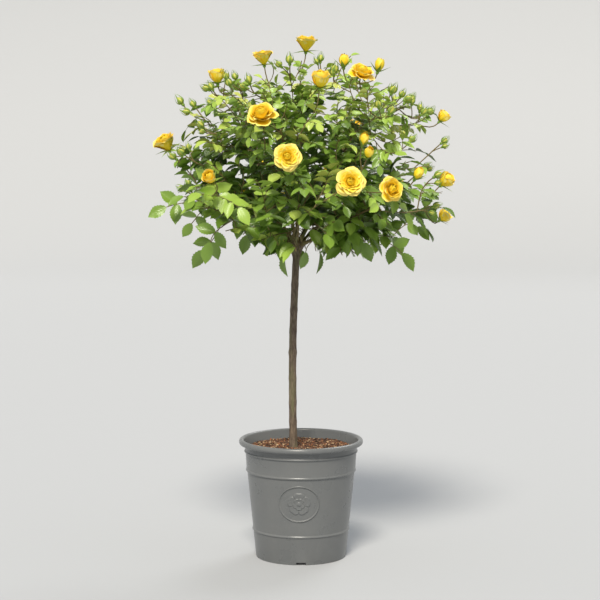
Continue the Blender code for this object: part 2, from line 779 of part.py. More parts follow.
def grow_mass(bough, space, tips, seed, finishes):
    """The pieces of one mass: twigs first, then flowers, then every leaflet that crosses nothing."""
    chance = random.Random(seed)
    twigs = grow_twigs(bough, space, tips)
    pieces = []
    for twig in twigs:
        bm = bmesh.new()
        limb(bm, twig["path"], twig["radii"], TWIG_SIDES)
        pieces.append(put_in_scene("foliage_" + bough["name"], bm, finishes["twig"]))
    taken = [shape_tree(piece) for piece in pieces]
    for twig in twigs:
        if twig["kind"] in ("open", "half", "buds"):
            flowers = blossom(twig["kind"], twig["path"], twig["way"], chance, finishes)
            taken += [shape_tree(piece) for piece in flowers]
            pieces += flowers
    for number, twig in enumerate(twigs[1:], 1):
        path = twig["path"]
        if twig["kind"] != "leaf":
            path = path[:-1] + [path[-2].lerp(path[-1], 0.45)]
        size = leaf_size(path[-1].z) * chance.uniform(0.92, 1.06)
        blades = leaf_of_five(path, TWIG_TIP_RADIUS, size)
        if twig["kind"] != "leaf":
            blades = blades[1:3]
        others = taken[:number] + taken[number + 1:]
        for full_blade in blades:
            blade, tree = fitted_blade(space, full_blade, others, finishes["leaf"])
            if blade:
                pieces.append(blade)
                taken.append(tree)
                others.append(tree)
    return pieces


def build_foliage(boughs):
    """One mass of twigs, leaflets and flowers on each bough."""
    lines = limbs_as_lines(boughs)
    tips = lay_out_tips()
    centres = [bough["centre"] for bough in boughs]
    finishes = {
        "twig": material("young_rose_bark", (0.10, 0.11, 0.04), 0.6),
        "leaf": material("rose_leaf", (0.045, 0.115, 0.022), 0.45),
        "petal": material("yellow_petal", (0.85, 0.62, 0.05), 0.55),
    }
    for seed, bough in enumerate(boughs):
        space = Space(bough["centre"], centres, lines)
        pieces = grow_mass(bough, space, tips, seed, finishes)
        combine(pieces[0], pieces[1:], "UNION")
        keep_one_body(pieces[0])


clear_scene()
build_pot()
build_soil()
build_trunk()
all_boughs = lay_out_boughs()
build_boughs(all_boughs)
build_foliage(all_boughs)
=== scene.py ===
"""Standard rose in a grey plastic pot: the looks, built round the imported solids.

The file follows the plant from the ground up: pot, compost, stem, boughs, then the twigs that grow on
from the boughs by the same rule as the solids, and the leaves, blooms and buds that they carry.
Metres, +Z up, and -Y is the side that the pot's rosette faces.
"""

import math
import random

import bmesh
import bpy
import numpy as np
from mathutils import Matrix, Quaternion, Vector, noise


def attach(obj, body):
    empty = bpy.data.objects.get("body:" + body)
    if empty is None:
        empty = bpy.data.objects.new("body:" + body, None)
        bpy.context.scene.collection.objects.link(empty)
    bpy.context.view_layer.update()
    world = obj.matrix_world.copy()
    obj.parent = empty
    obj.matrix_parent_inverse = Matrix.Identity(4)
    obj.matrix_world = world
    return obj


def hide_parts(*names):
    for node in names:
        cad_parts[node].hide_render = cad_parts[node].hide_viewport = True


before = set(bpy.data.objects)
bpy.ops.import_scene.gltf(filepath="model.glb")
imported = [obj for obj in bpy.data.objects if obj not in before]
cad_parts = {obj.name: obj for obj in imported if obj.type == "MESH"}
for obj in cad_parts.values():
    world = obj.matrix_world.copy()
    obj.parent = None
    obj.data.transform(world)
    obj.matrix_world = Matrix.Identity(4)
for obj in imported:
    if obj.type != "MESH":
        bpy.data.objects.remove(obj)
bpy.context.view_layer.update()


# Camera: a long lens well in front of the plant, a little under the top of the crown and tipped down
# a few degrees. The place was fitted to the pot's rim, beads and foot in the photograph.
CAMERA_PLACE = (-0.0019, -3.82, 0.9175)
CAMERA_TIP = 6.25
CAMERA_LENS = 120.0
CAMERA_SENSOR = 36.0

lens = bpy.data.cameras.new("camera")
lens.lens = CAMERA_LENS
lens.sensor_width = CAMERA_SENSOR
camera = bpy.data.objects.new("camera", lens)
camera.location = CAMERA_PLACE
camera.rotation_euler = (math.radians(90.0 - CAMERA_TIP), 0.0, 0.0)
bpy.context.scene.collection.objects.link(camera)
bpy.context.scene.camera = camera
bpy.context.scene.view_settings.view_transform = "Standard"


# Floor: a wide dish of pale matt board, flat round the plant and turned up far behind it, so that it
# is plain from every side. It is not part of the plant.
FLOOR_REACH = 6.0
FLOOR_TURN = 2.5
FLOOR_STEPS = 12
FLOOR_SIDES = 96
FLOOR_COLOUR = "B4B6B8"


def linear(colour):
    """An sRGB hex colour as linear red, green, blue and one."""
    parts = [int(colour[place:place + 2], 16) / 255 for place in (0, 2, 4)]
    return [part / 12.92 if part <= 0.04045 else ((part + 0.055) / 1.055) ** 2.4 for part in parts] + [1.0]


def add_node(tree, kind, inputs=(), **settings):
    """Add a node with its settings, and give its inputs a value each or the socket that feeds them."""
    node = tree.nodes.new(kind)
    for name, value in settings.items():
        setattr(node, name, value)
    for name, value in dict(inputs).items():
        if isinstance(value, bpy.types.NodeSocket):
            tree.links.new(value, node.inputs[name])
        else:
            node.inputs[name].default_value = value
    return node


def finish(name, colour, **inputs):
    """A new material of one colour, with its tree and its shader for the nodes that pattern it."""
    made = bpy.data.materials.new(name)
    made.use_nodes = True
    shader = made.node_tree.nodes["Principled BSDF"]
    shader.inputs["Base Color"].default_value = linear(colour)
    for socket, value in inputs.items():
        shader.inputs[socket.replace("_", " ")].default_value = value
    return made, made.node_tree, shader


def stand(name, mesh, finishes):
    """Put a finished mesh in the scene, its object at the origin."""
    for made in finishes:
        mesh.materials.append(made)
    item = bpy.data.objects.new(name, mesh)
    bpy.context.scene.collection.objects.link(item)
    return item


def mesh_from(bm, name, inside_out=False):
    """Turn a bmesh into a smooth mesh with its faces outwards."""
    bmesh.ops.recalc_face_normals(bm, faces=bm.faces)
    if inside_out:
        bmesh.ops.reverse_faces(bm, faces=bm.faces)
    mesh = bpy.data.meshes.new(name)
    bm.to_mesh(mesh)
    bm.free()
    mesh.shade_smooth()
    return mesh


def spun(profile, sides):
    """Turn a half section of (radius, height) about Z."""
    bm = bmesh.new()
    verts = [bm.verts.new((radius, 0.0, height)) for radius, height in profile]
    edges = [bm.edges.new(pair) for pair in zip(verts, verts[1:])]
    bmesh.ops.spin(
        bm, geom=verts + edges, axis=(0, 0, 1), cent=(0, 0, 0), angle=math.tau, steps=sides, use_merge=True
    )
    bmesh.ops.remove_doubles(bm, verts=bm.verts, dist=1e-6)
    return bm


floor_profile = [(0.0, 0.0), (FLOOR_REACH, 0.0)]
for step in range(1, FLOOR_STEPS + 1):
    turn = math.radians(90.0 * step / FLOOR_STEPS)
    floor_profile.append((FLOOR_REACH + FLOOR_TURN * math.sin(turn), FLOOR_TURN * (1 - math.cos(turn))))
matt_board, tree, shader = finish("matt_board", FLOOR_COLOUR, Roughness=0.9)
floor = stand("floor", mesh_from(spun(floor_profile, FLOOR_SIDES), "floor", inside_out=True), [matt_board])


# Light: a bright pale room, one broad warm lamp far off and high in front, so that it lights the floor
# and the backdrop alike, and a weak one from behind that picks out the edges.
ROOM_COLOUR = "F2F6FB"
ROOM_STRENGTH = 0.55
LAMPS = (
    ("key_lamp", (-0.5, -3.3, 3.9), 16.0, 3.5, "FFF8EC"),
    ("back_lamp", (1.6, 3.0, 3.4), 24.0, 0.8, "FFFFFF"),
)

room = bpy.data.worlds.new("room")
room.use_nodes = True
backing = room.node_tree.nodes["Background"]
backing.inputs["Color"].default_value = linear(ROOM_COLOUR)
backing.inputs["Strength"].default_value = ROOM_STRENGTH
bpy.context.scene.world = room
for name, place, spread, power, colour in LAMPS:
    lamp = bpy.data.lights.new(name, "SUN")
    lamp.angle = math.radians(spread)
    lamp.energy = power
    lamp.color = linear(colour)[:3]
    item = bpy.data.objects.new(name, lamp)
    item.location = place
    item.rotation_euler = (-Vector(place)).to_track_quat("-Z", "Y").to_euler()
    bpy.context.scene.collection.objects.link(item)


# Pot: one injection moulding in grey polypropylene, with a rolled rim, a collar between two beads, a
# third bead low on the wall, water slots at the foot, and a round medallion with a plain rosette.
POT_HEIGHT = 0.230
RIM_RADIUS = 0.120
RIM_ROLL = 0.005
RIM_SKIRT = 0.0008
FOOT_RADIUS = 0.0872
WALL_LEAN = 0.100
WALL_THICKNESS = 0.0030
LOW_BEAD = 0.0552
COLLAR_FOOT = 0.1704
NECK = 0.2065
BEAD = 0.0016
COLLAR_STEP = 0.0018
CORNER = 0.0009
POT_SIDES = 176
WALL_ROW = 0.004
SLOTS = 4
SLOT_SIZE = Vector((0.030, 0.0186, 0.0104))
MEDALLION_HEIGHT = 0.1205
MEDALLION_ASIDE = -0.0040
MEDALLION_RADIUS = 0.0385
MEDALLION_FLATNESS = 0.89
MEDALLION_LINE = 0.0013
MEDALLION_RELIEF = 0.0020
ROSETTE_RADIUS = 0.0232
ROSETTE_RELIEF = 0.0019
PETALS_ROUND = 5
PATCH_CUTS = 4
POT_GREY = "66696A"
POT_GREY_DUSTY = "747574"


def wall_radius(height):
    """Outside radius of the pot's plain wall."""
    return FOOT_RADIUS + WALL_LEAN * height


def rounded(points, size, steps=3):
    """A half section with each corner turned into a short bend."""
    path = [Vector(point) for point in points]
    smooth = [path[0]]
    for before, corner, after in zip(path, path[1:], path[2:]):
        start = corner + (before - corner).normalized() * min(size, (before - corner).length * 0.45)
        end = corner + (after - corner).normalized() * min(size, (after - corner).length * 0.45)
        for step in range(steps + 1):
            share = step / steps
            smooth.append(start.lerp(corner, share).lerp(corner.lerp(end, share), share))
    return smooth + [path[-1]]


def cut_away(item, cutters):
    """Cut a collection of objects out of the item, then remove them."""
    group = bpy.data.collections.new("cutters")
    bpy.context.scene.collection.children.link(group)
    for cutter in cutters:
        bpy.context.scene.collection.objects.unlink(cutter)
        group.objects.link(cutter)
    modifier = item.modifiers.new("cut", "BOOLEAN")
    modifier.operation = "DIFFERENCE"
    modifier.operand_type = "COLLECTION"
    modifier.collection = group
    bpy.context.view_layer.update()
    cut = bpy.data.meshes.new_from_object(item.evaluated_get(bpy.context.evaluated_depsgraph_get()))
    item.modifiers.clear()
    item.data = cut
    for cutter in cutters:
        bpy.data.objects.remove(cutter)
    bpy.data.collections.remove(group)


def smooth_step(low, high, value):
    share = min(max((value - low) / (high - low), 0.0), 1.0)
    return share * share * (3 - 2 * share)


def medallion_relief(across, up):
    """How proud the wall stands on the medallion: a fine ring, and a rosette of two rows of petals."""
    ring = math.hypot(across, up / MEDALLION_FLATNESS)
    proud = MEDALLION_RELIEF * math.exp(-(((ring - MEDALLION_RADIUS) / MEDALLION_LINE) ** 2) * 1.6)
    out = math.hypot(across, up)
    sector = math.tau / PETALS_ROUND
    for reach, first, share in ((1.0, 0.0, 0.75), (0.56, sector / 2, 1.0)):
        turn = (math.atan2(up, across) - math.pi / 2 + first + sector / 2) % sector - sector / 2
        side = abs(turn) / (sector / 2)
        rim = ROSETTE_RADIUS * reach * (1 - 0.20 * side ** 3 - 0.05 * math.exp(-((side / 0.2) ** 2)))
        petal = smooth_step(0.0, 0.0022, rim - out) * smooth_step(1.02, 0.86, side)
        dish = 0.40 + 0.60 * smooth_step(0.50, 0.92, out / rim)
        proud = max(proud, ROSETTE_RELIEF * share * petal * dish)
    boss = ROSETTE_RADIUS * 0.20
    return max(proud, ROSETTE_RELIEF * 1.2 * math.sqrt(max(1 - (out / boss) ** 2, 0.0)))


wall_rows = int((COLLAR_FOOT - LOW_BEAD) / WALL_ROW)
pot_section = [(0.0, 0.0), (wall_radius(0.0), 0.0)]
pot_section += [
    (wall_radius(LOW_BEAD), LOW_BEAD - 1.3 * BEAD),
    (wall_radius(LOW_BEAD) + 0.0018, LOW_BEAD - 1.0 * BEAD),
    (wall_radius(LOW_BEAD) + 0.0014, LOW_BEAD + 0.4 * BEAD),
    (wall_radius(LOW_BEAD) + 0.0002, LOW_BEAD + 1.3 * BEAD),
]
for row in range(1, wall_rows):
    height = LOW_BEAD + (COLLAR_FOOT - LOW_BEAD) * row / wall_rows
    pot_section.append((wall_radius(height), height))
pot_section += [
    (wall_radius(COLLAR_FOOT), COLLAR_FOOT - 1.4 * BEAD),
    (wall_radius(COLLAR_FOOT) + COLLAR_STEP + 0.0006, COLLAR_FOOT - 1.0 * BEAD),
    (wall_radius(COLLAR_FOOT) + COLLAR_STEP + 0.0004, COLLAR_FOOT + 0.4 * BEAD),
    (wall_radius(COLLAR_FOOT) + COLLAR_STEP - 0.0007, COLLAR_FOOT + 1.3 * BEAD),
    (wall_radius(NECK) - 0.0004, NECK - 1.2 * BEAD),
    (wall_radius(NECK) + COLLAR_STEP + 0.0002, NECK - 0.8 * BEAD),
    (wall_radius(NECK) + COLLAR_STEP, NECK + 0.6 * BEAD),
    (wall_radius(NECK) + 0.0002, NECK + 1.4 * BEAD),
    (wall_radius(NECK) + 0.0004, POT_HEIGHT - 2 * RIM_ROLL - RIM_SKIRT - 0.0012),
]
rim_arc = []
for angle in range(-110, 185, 12):
    turn = math.radians(angle)
    skirt = RIM_SKIRT * (angle < 0)
    rim_arc.append((
        RIM_RADIUS - RIM_ROLL + RIM_ROLL * math.cos(turn),
        POT_HEIGHT - RIM_ROLL + RIM_ROLL * math.sin(turn) - skirt,
    ))
inside_wall = [
    (wall_radius(NECK) - WALL_THICKNESS + 0.0004, NECK + 0.008),
    (wall_radius(WALL_THICKNESS) - WALL_THICKNESS, WALL_THICKNESS),
    (0.0, WALL_THICKNESS),
]
outline = rounded(pot_section + rim_arc[:1], CORNER) + [Vector(point) for point in rim_arc[1:]]
pot = stand("moulded_pot", mesh_from(spun(outline + rounded(inside_wall, 0.002), POT_SIDES), "pot"), [])
cutters = []
for number in range(SLOTS):
    turn = Matrix.Rotation(math.tau * number / SLOTS - math.pi / 2, 4, "Z")
    bm = bmesh.new()
    place = turn @ Matrix.Translation((FOOT_RADIUS + 0.006, 0, 0)) @ Matrix.Diagonal((*SLOT_SIZE, 1.0))
    bmesh.ops.create_cube(bm, size=1.0, matrix=place)
    cutters.append(stand("slot", mesh_from(bm, "slot"), []))
cut_away(pot, cutters)


def on_medallion(place):
    """A wall point as its distance across and up from the medallion's centre."""
    around = math.atan2(place.x, -place.y) * math.hypot(place.x, place.y)
    return around - MEDALLION_ASIDE, place.z - MEDALLION_HEIGHT


bm = bmesh.new()
bm.from_mesh(pot.data)
patch = set()
for face in bm.faces:
    centre = face.calc_center_median()
    on_wall = abs(math.hypot(centre.x, centre.y) - wall_radius(centre.z)) < 0.0008
    if on_wall and centre.y < 0 and math.hypot(*on_medallion(centre)) < MEDALLION_RADIUS + 0.006:
        patch.update(face.edges)
bmesh.ops.subdivide_edges(bm, edges=list(patch), cuts=PATCH_CUTS, use_grid_fill=True)
for vert in bm.verts:
    on_wall = abs(math.hypot(vert.co.x, vert.co.y) - wall_radius(vert.co.z)) < 0.0008
    if on_wall and vert.co.y < 0 and 0.06 < vert.co.z < 0.165:
        out = Vector((vert.co.x, vert.co.y, 0)).normalized()
        vert.co += out * medallion_relief(*on_medallion(vert.co))
bm.to_mesh(pot.data)
bm.free()
pot.data.shade_smooth()
pot.data.set_sharp_from_angle(angle=math.radians(38))

# Polypropylene from a spark-eroded mould: a satin grey skin with a fine grain, drawn at 1.5 mm so that
# it shows, and a little dust that dulls it in soft patches.
grey_plastic, tree, shader = finish("moulded_polypropylene", POT_GREY, Roughness=0.40, IOR=1.49)
place = add_node(tree, "ShaderNodeTexCoord").outputs["Object"]
dust = add_node(tree, "ShaderNodeTexNoise", {"Vector": place, "Scale": 22.0, "Detail": 5.0, "Roughness": 0.6})
grain = add_node(tree, "ShaderNodeTexNoise", {"Vector": place, "Scale": 650.0, "Detail": 2.0})
colours = add_node(tree, "ShaderNodeMix", {
    0: dust.outputs["Fac"], 6: linear(POT_GREY), 7: linear(POT_GREY_DUSTY),
}, data_type="RGBA")
dull = add_node(tree, "ShaderNodeMapRange", {
    "Value": dust.outputs["Fac"], "From Min": 0.3, "From Max": 0.7, "To Min": 0.24, "To Max": 0.36,
})
bumps = add_node(tree, "ShaderNodeBump", {"Height": grain.outputs["Fac"], "Strength": 0.06, "Distance": 0.0004})
tree.links.new(colours.outputs[2], shader.inputs["Base Color"])
tree.links.new(dull.outputs["Result"], shader.inputs["Roughness"])
tree.links.new(bumps.outputs["Normal"], shader.inputs["Normal"])
pot.data.materials.append(grey_plastic)
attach(pot, "root")
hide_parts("pot")


# Compost: ground bark that fills the pot to a thumb's breadth below its rim. Its surface is a lumpy crust
# with loose chips of bark, dark humus and paler splinters lying on it and half sunk in it.
SOIL_LEVEL = 0.210
SOIL_EDGE_DROP = 0.003
SOIL_HEAP = 0.0035
SOIL_GAP = 0.0009
SOIL_SIDES = 150
SOIL_ROWS = 42
SOIL_LUMPS = ((60.0, 0.0022), (170.0, 0.0011), (420.0, 0.0006))
CHIPS = 2600
CHIP_SIZES = (0.0022, 0.0058)
CHIP_SHAPES = 8
STEM_KEEP_OFF = 0.0135


def lumps(place, layers):
    """How far a rough surface stands above its mean, as layers of noise of (per metre, height)."""
    return sum(height * noise.noise(place * scale + Vector((scale, 0, 0))) for scale, height in layers)


def soil_top(x, y):
    """Height of the compost's crust."""
    out = math.hypot(x, y)
    edge = wall_radius(SOIL_LEVEL) - WALL_THICKNESS
    level = SOIL_LEVEL + SOIL_HEAP - SOIL_EDGE_DROP * smooth_step(edge - 0.012, edge, out)
    return level + lumps(Vector((x, y, SOIL_LEVEL)), SOIL_LUMPS) * smooth_step(0.006, 0.018, out)


def shape_of(bm):
    """A small shape as arrays, ready to be copied many times, with its faces' finishes and UVs."""
    uv = bm.loops.layers.uv.active
    bm.verts.index_update()
    shape = {
        "points": np.array([vert.co for vert in bm.verts]),
        "corners": np.array([vert.index for face in bm.faces for vert in face.verts]),
        "sides": np.array([len(face.verts) for face in bm.faces]),
        "finish": np.array([face.material_index for face in bm.faces]),
        "uv": np.array([loop[uv].uv if uv else (0, 0) for face in bm.faces for loop in face.loops]),
    }
    bm.free()
    return shape


def joined(name, copies):
    """One mesh of many copies of small shapes: each copy is (shape, matrix, number of its first finish)."""
    parts = {"points": [], "corners": [], "sides": [], "uv": [], "finish": []}
    count = 0
    for shape, matrix, number in copies:
        matrix = np.array(matrix)
        parts["points"].append(shape["points"] @ matrix[:3, :3].T + matrix[:3, 3])
        parts["corners"].append(shape["corners"] + count)
        parts["sides"].append(shape["sides"])
        parts["uv"].append(shape["uv"])
        parts["finish"].append(shape["finish"] + number)
        count += len(shape["points"])
    whole = {key: np.concatenate(lists) for key, lists in parts.items()}
    mesh = bpy.data.meshes.new(name)
    mesh.vertices.add(count)
    mesh.vertices.foreach_set("co", whole["points"].ravel())
    mesh.loops.add(len(whole["corners"]))
    mesh.loops.foreach_set("vertex_index", whole["corners"])
    mesh.polygons.add(len(whole["sides"]))
    mesh.polygons.foreach_set("loop_start", np.cumsum(whole["sides"]) - whole["sides"])
    mesh.polygons.foreach_set("material_index", whole["finish"])
    mesh.uv_layers.new(name="surface").data.foreach_set("uv", whole["uv"].ravel())
    mesh.update(calc_edges=True)
    mesh.shade_smooth()
    return mesh


soil_edge = wall_radius(SOIL_LEVEL) - WALL_THICKNESS - SOIL_GAP
soil_foot = wall_radius(WALL_THICKNESS) - WALL_THICKNESS - SOIL_GAP
soil_section = [(0.0, WALL_THICKNESS + SOIL_GAP), (soil_foot, WALL_THICKNESS + SOIL_GAP)]
soil_section += [
    (soil_edge * (1 - row / SOIL_ROWS), SOIL_LEVEL) for row in range(SOIL_ROWS + 1)
]
bm = spun(soil_section, SOIL_SIDES)
for vert in bm.verts:
    if vert.co.z > SOIL_LEVEL - 0.001:
        vert.co.z = soil_top(vert.co.x, vert.co.y)
soil = stand("compost", mesh_from(bm, "compost"), [])

# Ground bark: matt, fibrous and dark where it is damp, in grains of about 3 mm
bark_mould, tree, shader = finish("damp_bark_mould", "3B2618", Roughness=0.95)
place = add_node(tree, "ShaderNodeTexCoord").outputs["Object"]
grains = add_node(tree, "ShaderNodeTexVoronoi", {"Vector": place, "Scale": 330.0})
shades = add_node(tree, "ShaderNodeValToRGB", {"Fac": add_node(
    tree, "ShaderNodeSeparateColor", {"Color": grains.outputs["Color"]}
).outputs["Red"]})
shades.color_ramp.elements[0].color = linear("2A1A11")
shades.color_ramp.elements[1].color = linear("6B452C")
rough = add_node(tree, "ShaderNodeBump", {
    "Height": grains.outputs["Distance"], "Strength": 0.8, "Distance": 0.0012,
})
tree.links.new(shades.outputs["Color"], shader.inputs["Base Color"])
tree.links.new(rough.outputs["Normal"], shader.inputs["Normal"])
soil.data.materials.append(bark_mould)
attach(soil, "root")
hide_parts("soil")

chance = random.Random(21)
chip_shapes = []
for number in range(CHIP_SHAPES):
    bm = bmesh.new()
    bmesh.ops.create_icosphere(bm, subdivisions=1, radius=0.5)
    for vert in bm.verts:
        vert.co *= 1 + 0.45 * noise.noise(vert.co * 3 + Vector((number * 7.3, 0, 0)))
    bmesh.ops.scale(bm, vec=(1.0, chance.uniform(0.45, 0.8), chance.uniform(0.28, 0.55)), verts=bm.verts)
    chip_shapes.append(shape_of(bm))
chips = []
for number in range(CHIPS):
    out = (soil_edge - 0.003) * math.sqrt(chance.random())
    turn = chance.uniform(0, math.tau)
    x, y = out * math.cos(turn), out * math.sin(turn)
    if math.hypot(x + 0.0145, y) < STEM_KEEP_OFF:
        continue
    size = chance.uniform(*CHIP_SIZES) * (0.7 + 0.6 * chance.random() ** 2)
    tilt = Quaternion((chance.gauss(0, 1), chance.gauss(0, 1), 0.01), chance.uniform(0, 0.7))
    lie = Quaternion((0, 0, 1), chance.uniform(0, math.tau))
    seat = Vector((x, y, soil_top(x, y) + size * 0.12))
    shade = chance.choices(range(4), weights=(4, 4, 3, 1.8))[0]
    chips.append((
        chance.choice(chip_shapes), Matrix.LocRotScale(seat, tilt @ lie, Vector((1, 1, 1)) * size), shade
    ))
chip_finishes = []
for name, colour in (
    ("bark_chip_dark", "3C2A1C"), ("bark_chip_brown", "71503A"), ("bark_chip_red", "8C5A39"),
    ("bark_chip_pale", "C0A27C"),
):
    made, tree, shader = finish(name, colour, Roughness=0.9)
    place = add_node(tree, "ShaderNodeTexCoord").outputs["Object"]
    fibres = add_node(tree, "ShaderNodeTexNoise", {"Vector": place, "Scale": 900.0, "Detail": 3.0})
    rough = add_node(tree, "ShaderNodeBump", {
        "Height": fibres.outputs["Fac"], "Strength": 0.5, "Distance": 0.0005,
    })
    tree.links.new(rough.outputs["Normal"], shader.inputs["Normal"])
    chip_finishes.append(made)
bark_chips = stand("bark_chips", joined("bark_chips", chips), chip_finishes)
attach(bark_chips, "root")
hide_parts("soil")


# Stem: one clear woody stem, flared a little where it leaves the compost, with a few old nodes, up to
# the swollen graft union that carries the crown.
STEM_FOOT_X = -0.0145
UNION_CENTRE = Vector((-0.008, 0.0, 0.603))
STEM_BOW = 0.0045
STEM_FOOT_RADIUS = 0.0074
STEM_TOP_RADIUS = 0.0068
STEM_FLARE = 0.0020
STEM_FLARE_HEIGHT = 0.010
STEM_KNOTS = ((0.262, 0.0004), (0.300, 0.0006), (0.347, 0.0005), (0.398, 0.0011), (0.440, 0.0004),
              (0.480, 0.0006), (0.529, 0.0005))
KNOT_LENGTH = 0.0055
UNION_RADIUS = 0.0155
UNION_SHOULDER = 0.026
STEM_SIDES = 48
STEM_ROW = 0.0022
STEM_RIDGES = 0.00045
UNION_LUMPS = ((70.0, 0.0032), (190.0, 0.0012))


def stem_axis(height):
    """Centre of the stem at a height: a slight lean with a slight bow."""
    share = (height - SOIL_LEVEL) / (UNION_CENTRE.z - SOIL_LEVEL)
    across = STEM_FOOT_X + (UNION_CENTRE.x - STEM_FOOT_X) * share
    return Vector((across - STEM_BOW * math.sin(math.pi * min(share, 1.0)), 0.0, height))


def stem_radius(height):
    """Radius of the stem: flare at the foot, slow taper, nodes, and the swelling to the union."""
    share = (height - SOIL_LEVEL) / (UNION_CENTRE.z - SOIL_LEVEL)
    radius = STEM_FOOT_RADIUS + (STEM_TOP_RADIUS - STEM_FOOT_RADIUS) * share
    radius += STEM_FLARE * math.exp(-max(height - SOIL_LEVEL, 0.0) / STEM_FLARE_HEIGHT)
    for knot, swelling in STEM_KNOTS:
        radius += swelling * math.exp(-(((height - knot) / KNOT_LENGTH) ** 2))
    rise = (height - (UNION_CENTRE.z - UNION_SHOULDER)) / UNION_SHOULDER
    if rise > 0:
        radius += (UNION_RADIUS - STEM_TOP_RADIUS) * min(rise, 1.0) ** 1.6
    if height > UNION_CENTRE.z:
        radius = math.sqrt(max(UNION_RADIUS ** 2 - (height - UNION_CENTRE.z) ** 2, 0.0))
    return radius


def tubes(name, runs, sides):
    """Round tapering stems as one mesh: each run is (path, radii, number of its finish)."""
    curve = bpy.data.curves.new(name, "CURVE")
    curve.dimensions = "3D"
    curve.bevel_depth = 1.0
    curve.bevel_resolution = (sides - 4) // 2
    curve.use_fill_caps = True
    for path, radii, number in runs:
        spline = curve.splines.new("POLY")
        spline.points.add(len(path) - 1)
        spline.material_index = number
        for point, place, radius in zip(spline.points, path, radii):
            point.co = (*place, 1.0)
            point.radius = radius
    item = bpy.data.objects.new(name, curve)
    bpy.context.scene.collection.objects.link(item)
    bpy.context.view_layer.update()
    mesh = bpy.data.meshes.new_from_object(item.evaluated_get(bpy.context.evaluated_depsgraph_get()))
    bpy.data.objects.remove(item)
    mesh.name = name
    mesh.materials.clear()
    mesh.shade_smooth()
    return mesh


stem_heights = [SOIL_LEVEL - 0.004]
while stem_heights[-1] < UNION_CENTRE.z + UNION_RADIUS * 0.6:
    stem_heights.append(stem_heights[-1] + STEM_ROW)
for angle in range(45, 90, 8):
    stem_heights.append(UNION_CENTRE.z + UNION_RADIUS * math.sin(math.radians(angle)))
mesh = tubes(
    "stem", [([stem_axis(height) for height in stem_heights], [stem_radius(h) for h in stem_heights], 0)],
    STEM_SIDES,
)
for vert in mesh.vertices:
    arm = vert.co - stem_axis(vert.co.z)
    arm.z = 0.0
    if arm.length < 1e-5:
        continue
    out = arm.normalized()
    ridge = noise.noise(Vector((out.x * 2.6, out.y * 2.6, vert.co.z * 34)))
    ridge += 0.6 * noise.noise(Vector((out.x * 7, out.y * 7, vert.co.z * 70)))
    vert.co += out * STEM_RIDGES * ridge
    swollen = smooth_step(UNION_CENTRE.z - UNION_SHOULDER, UNION_CENTRE.z - 0.006, vert.co.z)
    vert.co += out * lumps(vert.co, UNION_LUMPS) * swollen
stem = stand("bark_of_stem", mesh, [])


def bark(name, dark, light, moss, moss_share, stretch):
    """Bark of a young rose: thin and dull, in fine upright cracks, with green showing through it."""
    made, tree, shader = finish(name, light, Roughness=0.8)
    place = add_node(tree, "ShaderNodeTexCoord").outputs["Object"]
    upright = add_node(tree, "ShaderNodeMapping", {"Vector": place, "Scale": (1.0, 1.0, stretch)})
    cracks = add_node(tree, "ShaderNodeTexNoise", {
        "Vector": upright.outputs["Vector"], "Scale": 420.0, "Detail": 6.0, "Roughness": 0.65,
    })
    patches = add_node(tree, "ShaderNodeTexNoise", {
        "Vector": upright.outputs["Vector"], "Scale": 60.0, "Detail": 3.0,
    })
    shades = add_node(tree, "ShaderNodeValToRGB", {"Fac": cracks.outputs["Fac"]})
    shades.color_ramp.elements[0].position = 0.36
    shades.color_ramp.elements[0].color = linear(dark)
    shades.color_ramp.elements[1].position = 0.62
    shades.color_ramp.elements[1].color = linear(light)
    where = add_node(tree, "ShaderNodeMapRange", {
        "Value": patches.outputs["Fac"], "From Min": 0.62 - moss_share * 0.3, "From Max": 0.72, "To Max": 0.8,
    })
    colours = add_node(tree, "ShaderNodeMix", {
        0: where.outputs["Result"], 6: shades.outputs["Color"], 7: linear(moss),
    }, data_type="RGBA")
    rough = add_node(tree, "ShaderNodeBump", {
        "Height": cracks.outputs["Fac"], "Strength": 0.55, "Distance": 0.0008,
    })
    tree.links.new(colours.outputs[2], shader.inputs["Base Color"])
    tree.links.new(rough.outputs["Normal"], shader.inputs["Normal"])
    return made


stem.data.materials.append(bark("rose_stem_bark", "473A31", "82725F", "666644", 0.30, 0.16))
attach(stem, "root")
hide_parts("trunk")


# Boughs: thirteen main shoots that spring from the union, seven low, five high and one upright. They
# are young wood, green under a thin brown bark, and each ends where its mass of foliage begins.
RINGS = (
    ("low", 7, 12.0, 20.0, (0.180, 0.690), 0.50, (0.0036, 0.0021)),
    ("high", 5, 40.0, 56.0, (0.118, 0.828), 0.66, (0.0034, 0.0020)),
    ("top", 1, 0.0, 89.0, (0.0, 0.885), 0.56, (0.0036, 0.0020)),
)
SEAT_GAP = 0.0003
BOUGH_PIECES = 5
BOUGH_WANDER = 0.004
STRAIGHT_START = 0.006
BOUGH_SIDES = 12
BOUGH_COLLAR = 0.55
BOUGH_COLLAR_LENGTH = 0.006
BOUGH_RELIEF = ((130.0, 0.0007), (420.0, 0.00035))
BOUGH_SINK = 0.004
SMOOTH_STEPS = 8


def direction(turn, rise):
    """Unit vector from degrees round from +X and degrees up from level."""
    turn, rise = math.radians(turn), math.radians(rise)
    return Vector((math.cos(rise) * math.cos(turn), math.cos(rise) * math.sin(turn), math.sin(rise)))


def bend(start, handle, end, pieces):
    """Points along one smooth bend, pulled towards its handle."""
    points = []
    for step in range(pieces + 1):
        share = step / pieces
        points.append(start.lerp(handle, share).lerp(handle.lerp(end, share), share))
    return points


def seated_bend(start, out, end, pieces):
    """A bend that leaves its seat square: a short straight start, then the bend."""
    lead = start + out * STRAIGHT_START
    handle = start + out * (end - start).length * 0.5
    return [start] + bend(lead, handle, end, pieces - 1)


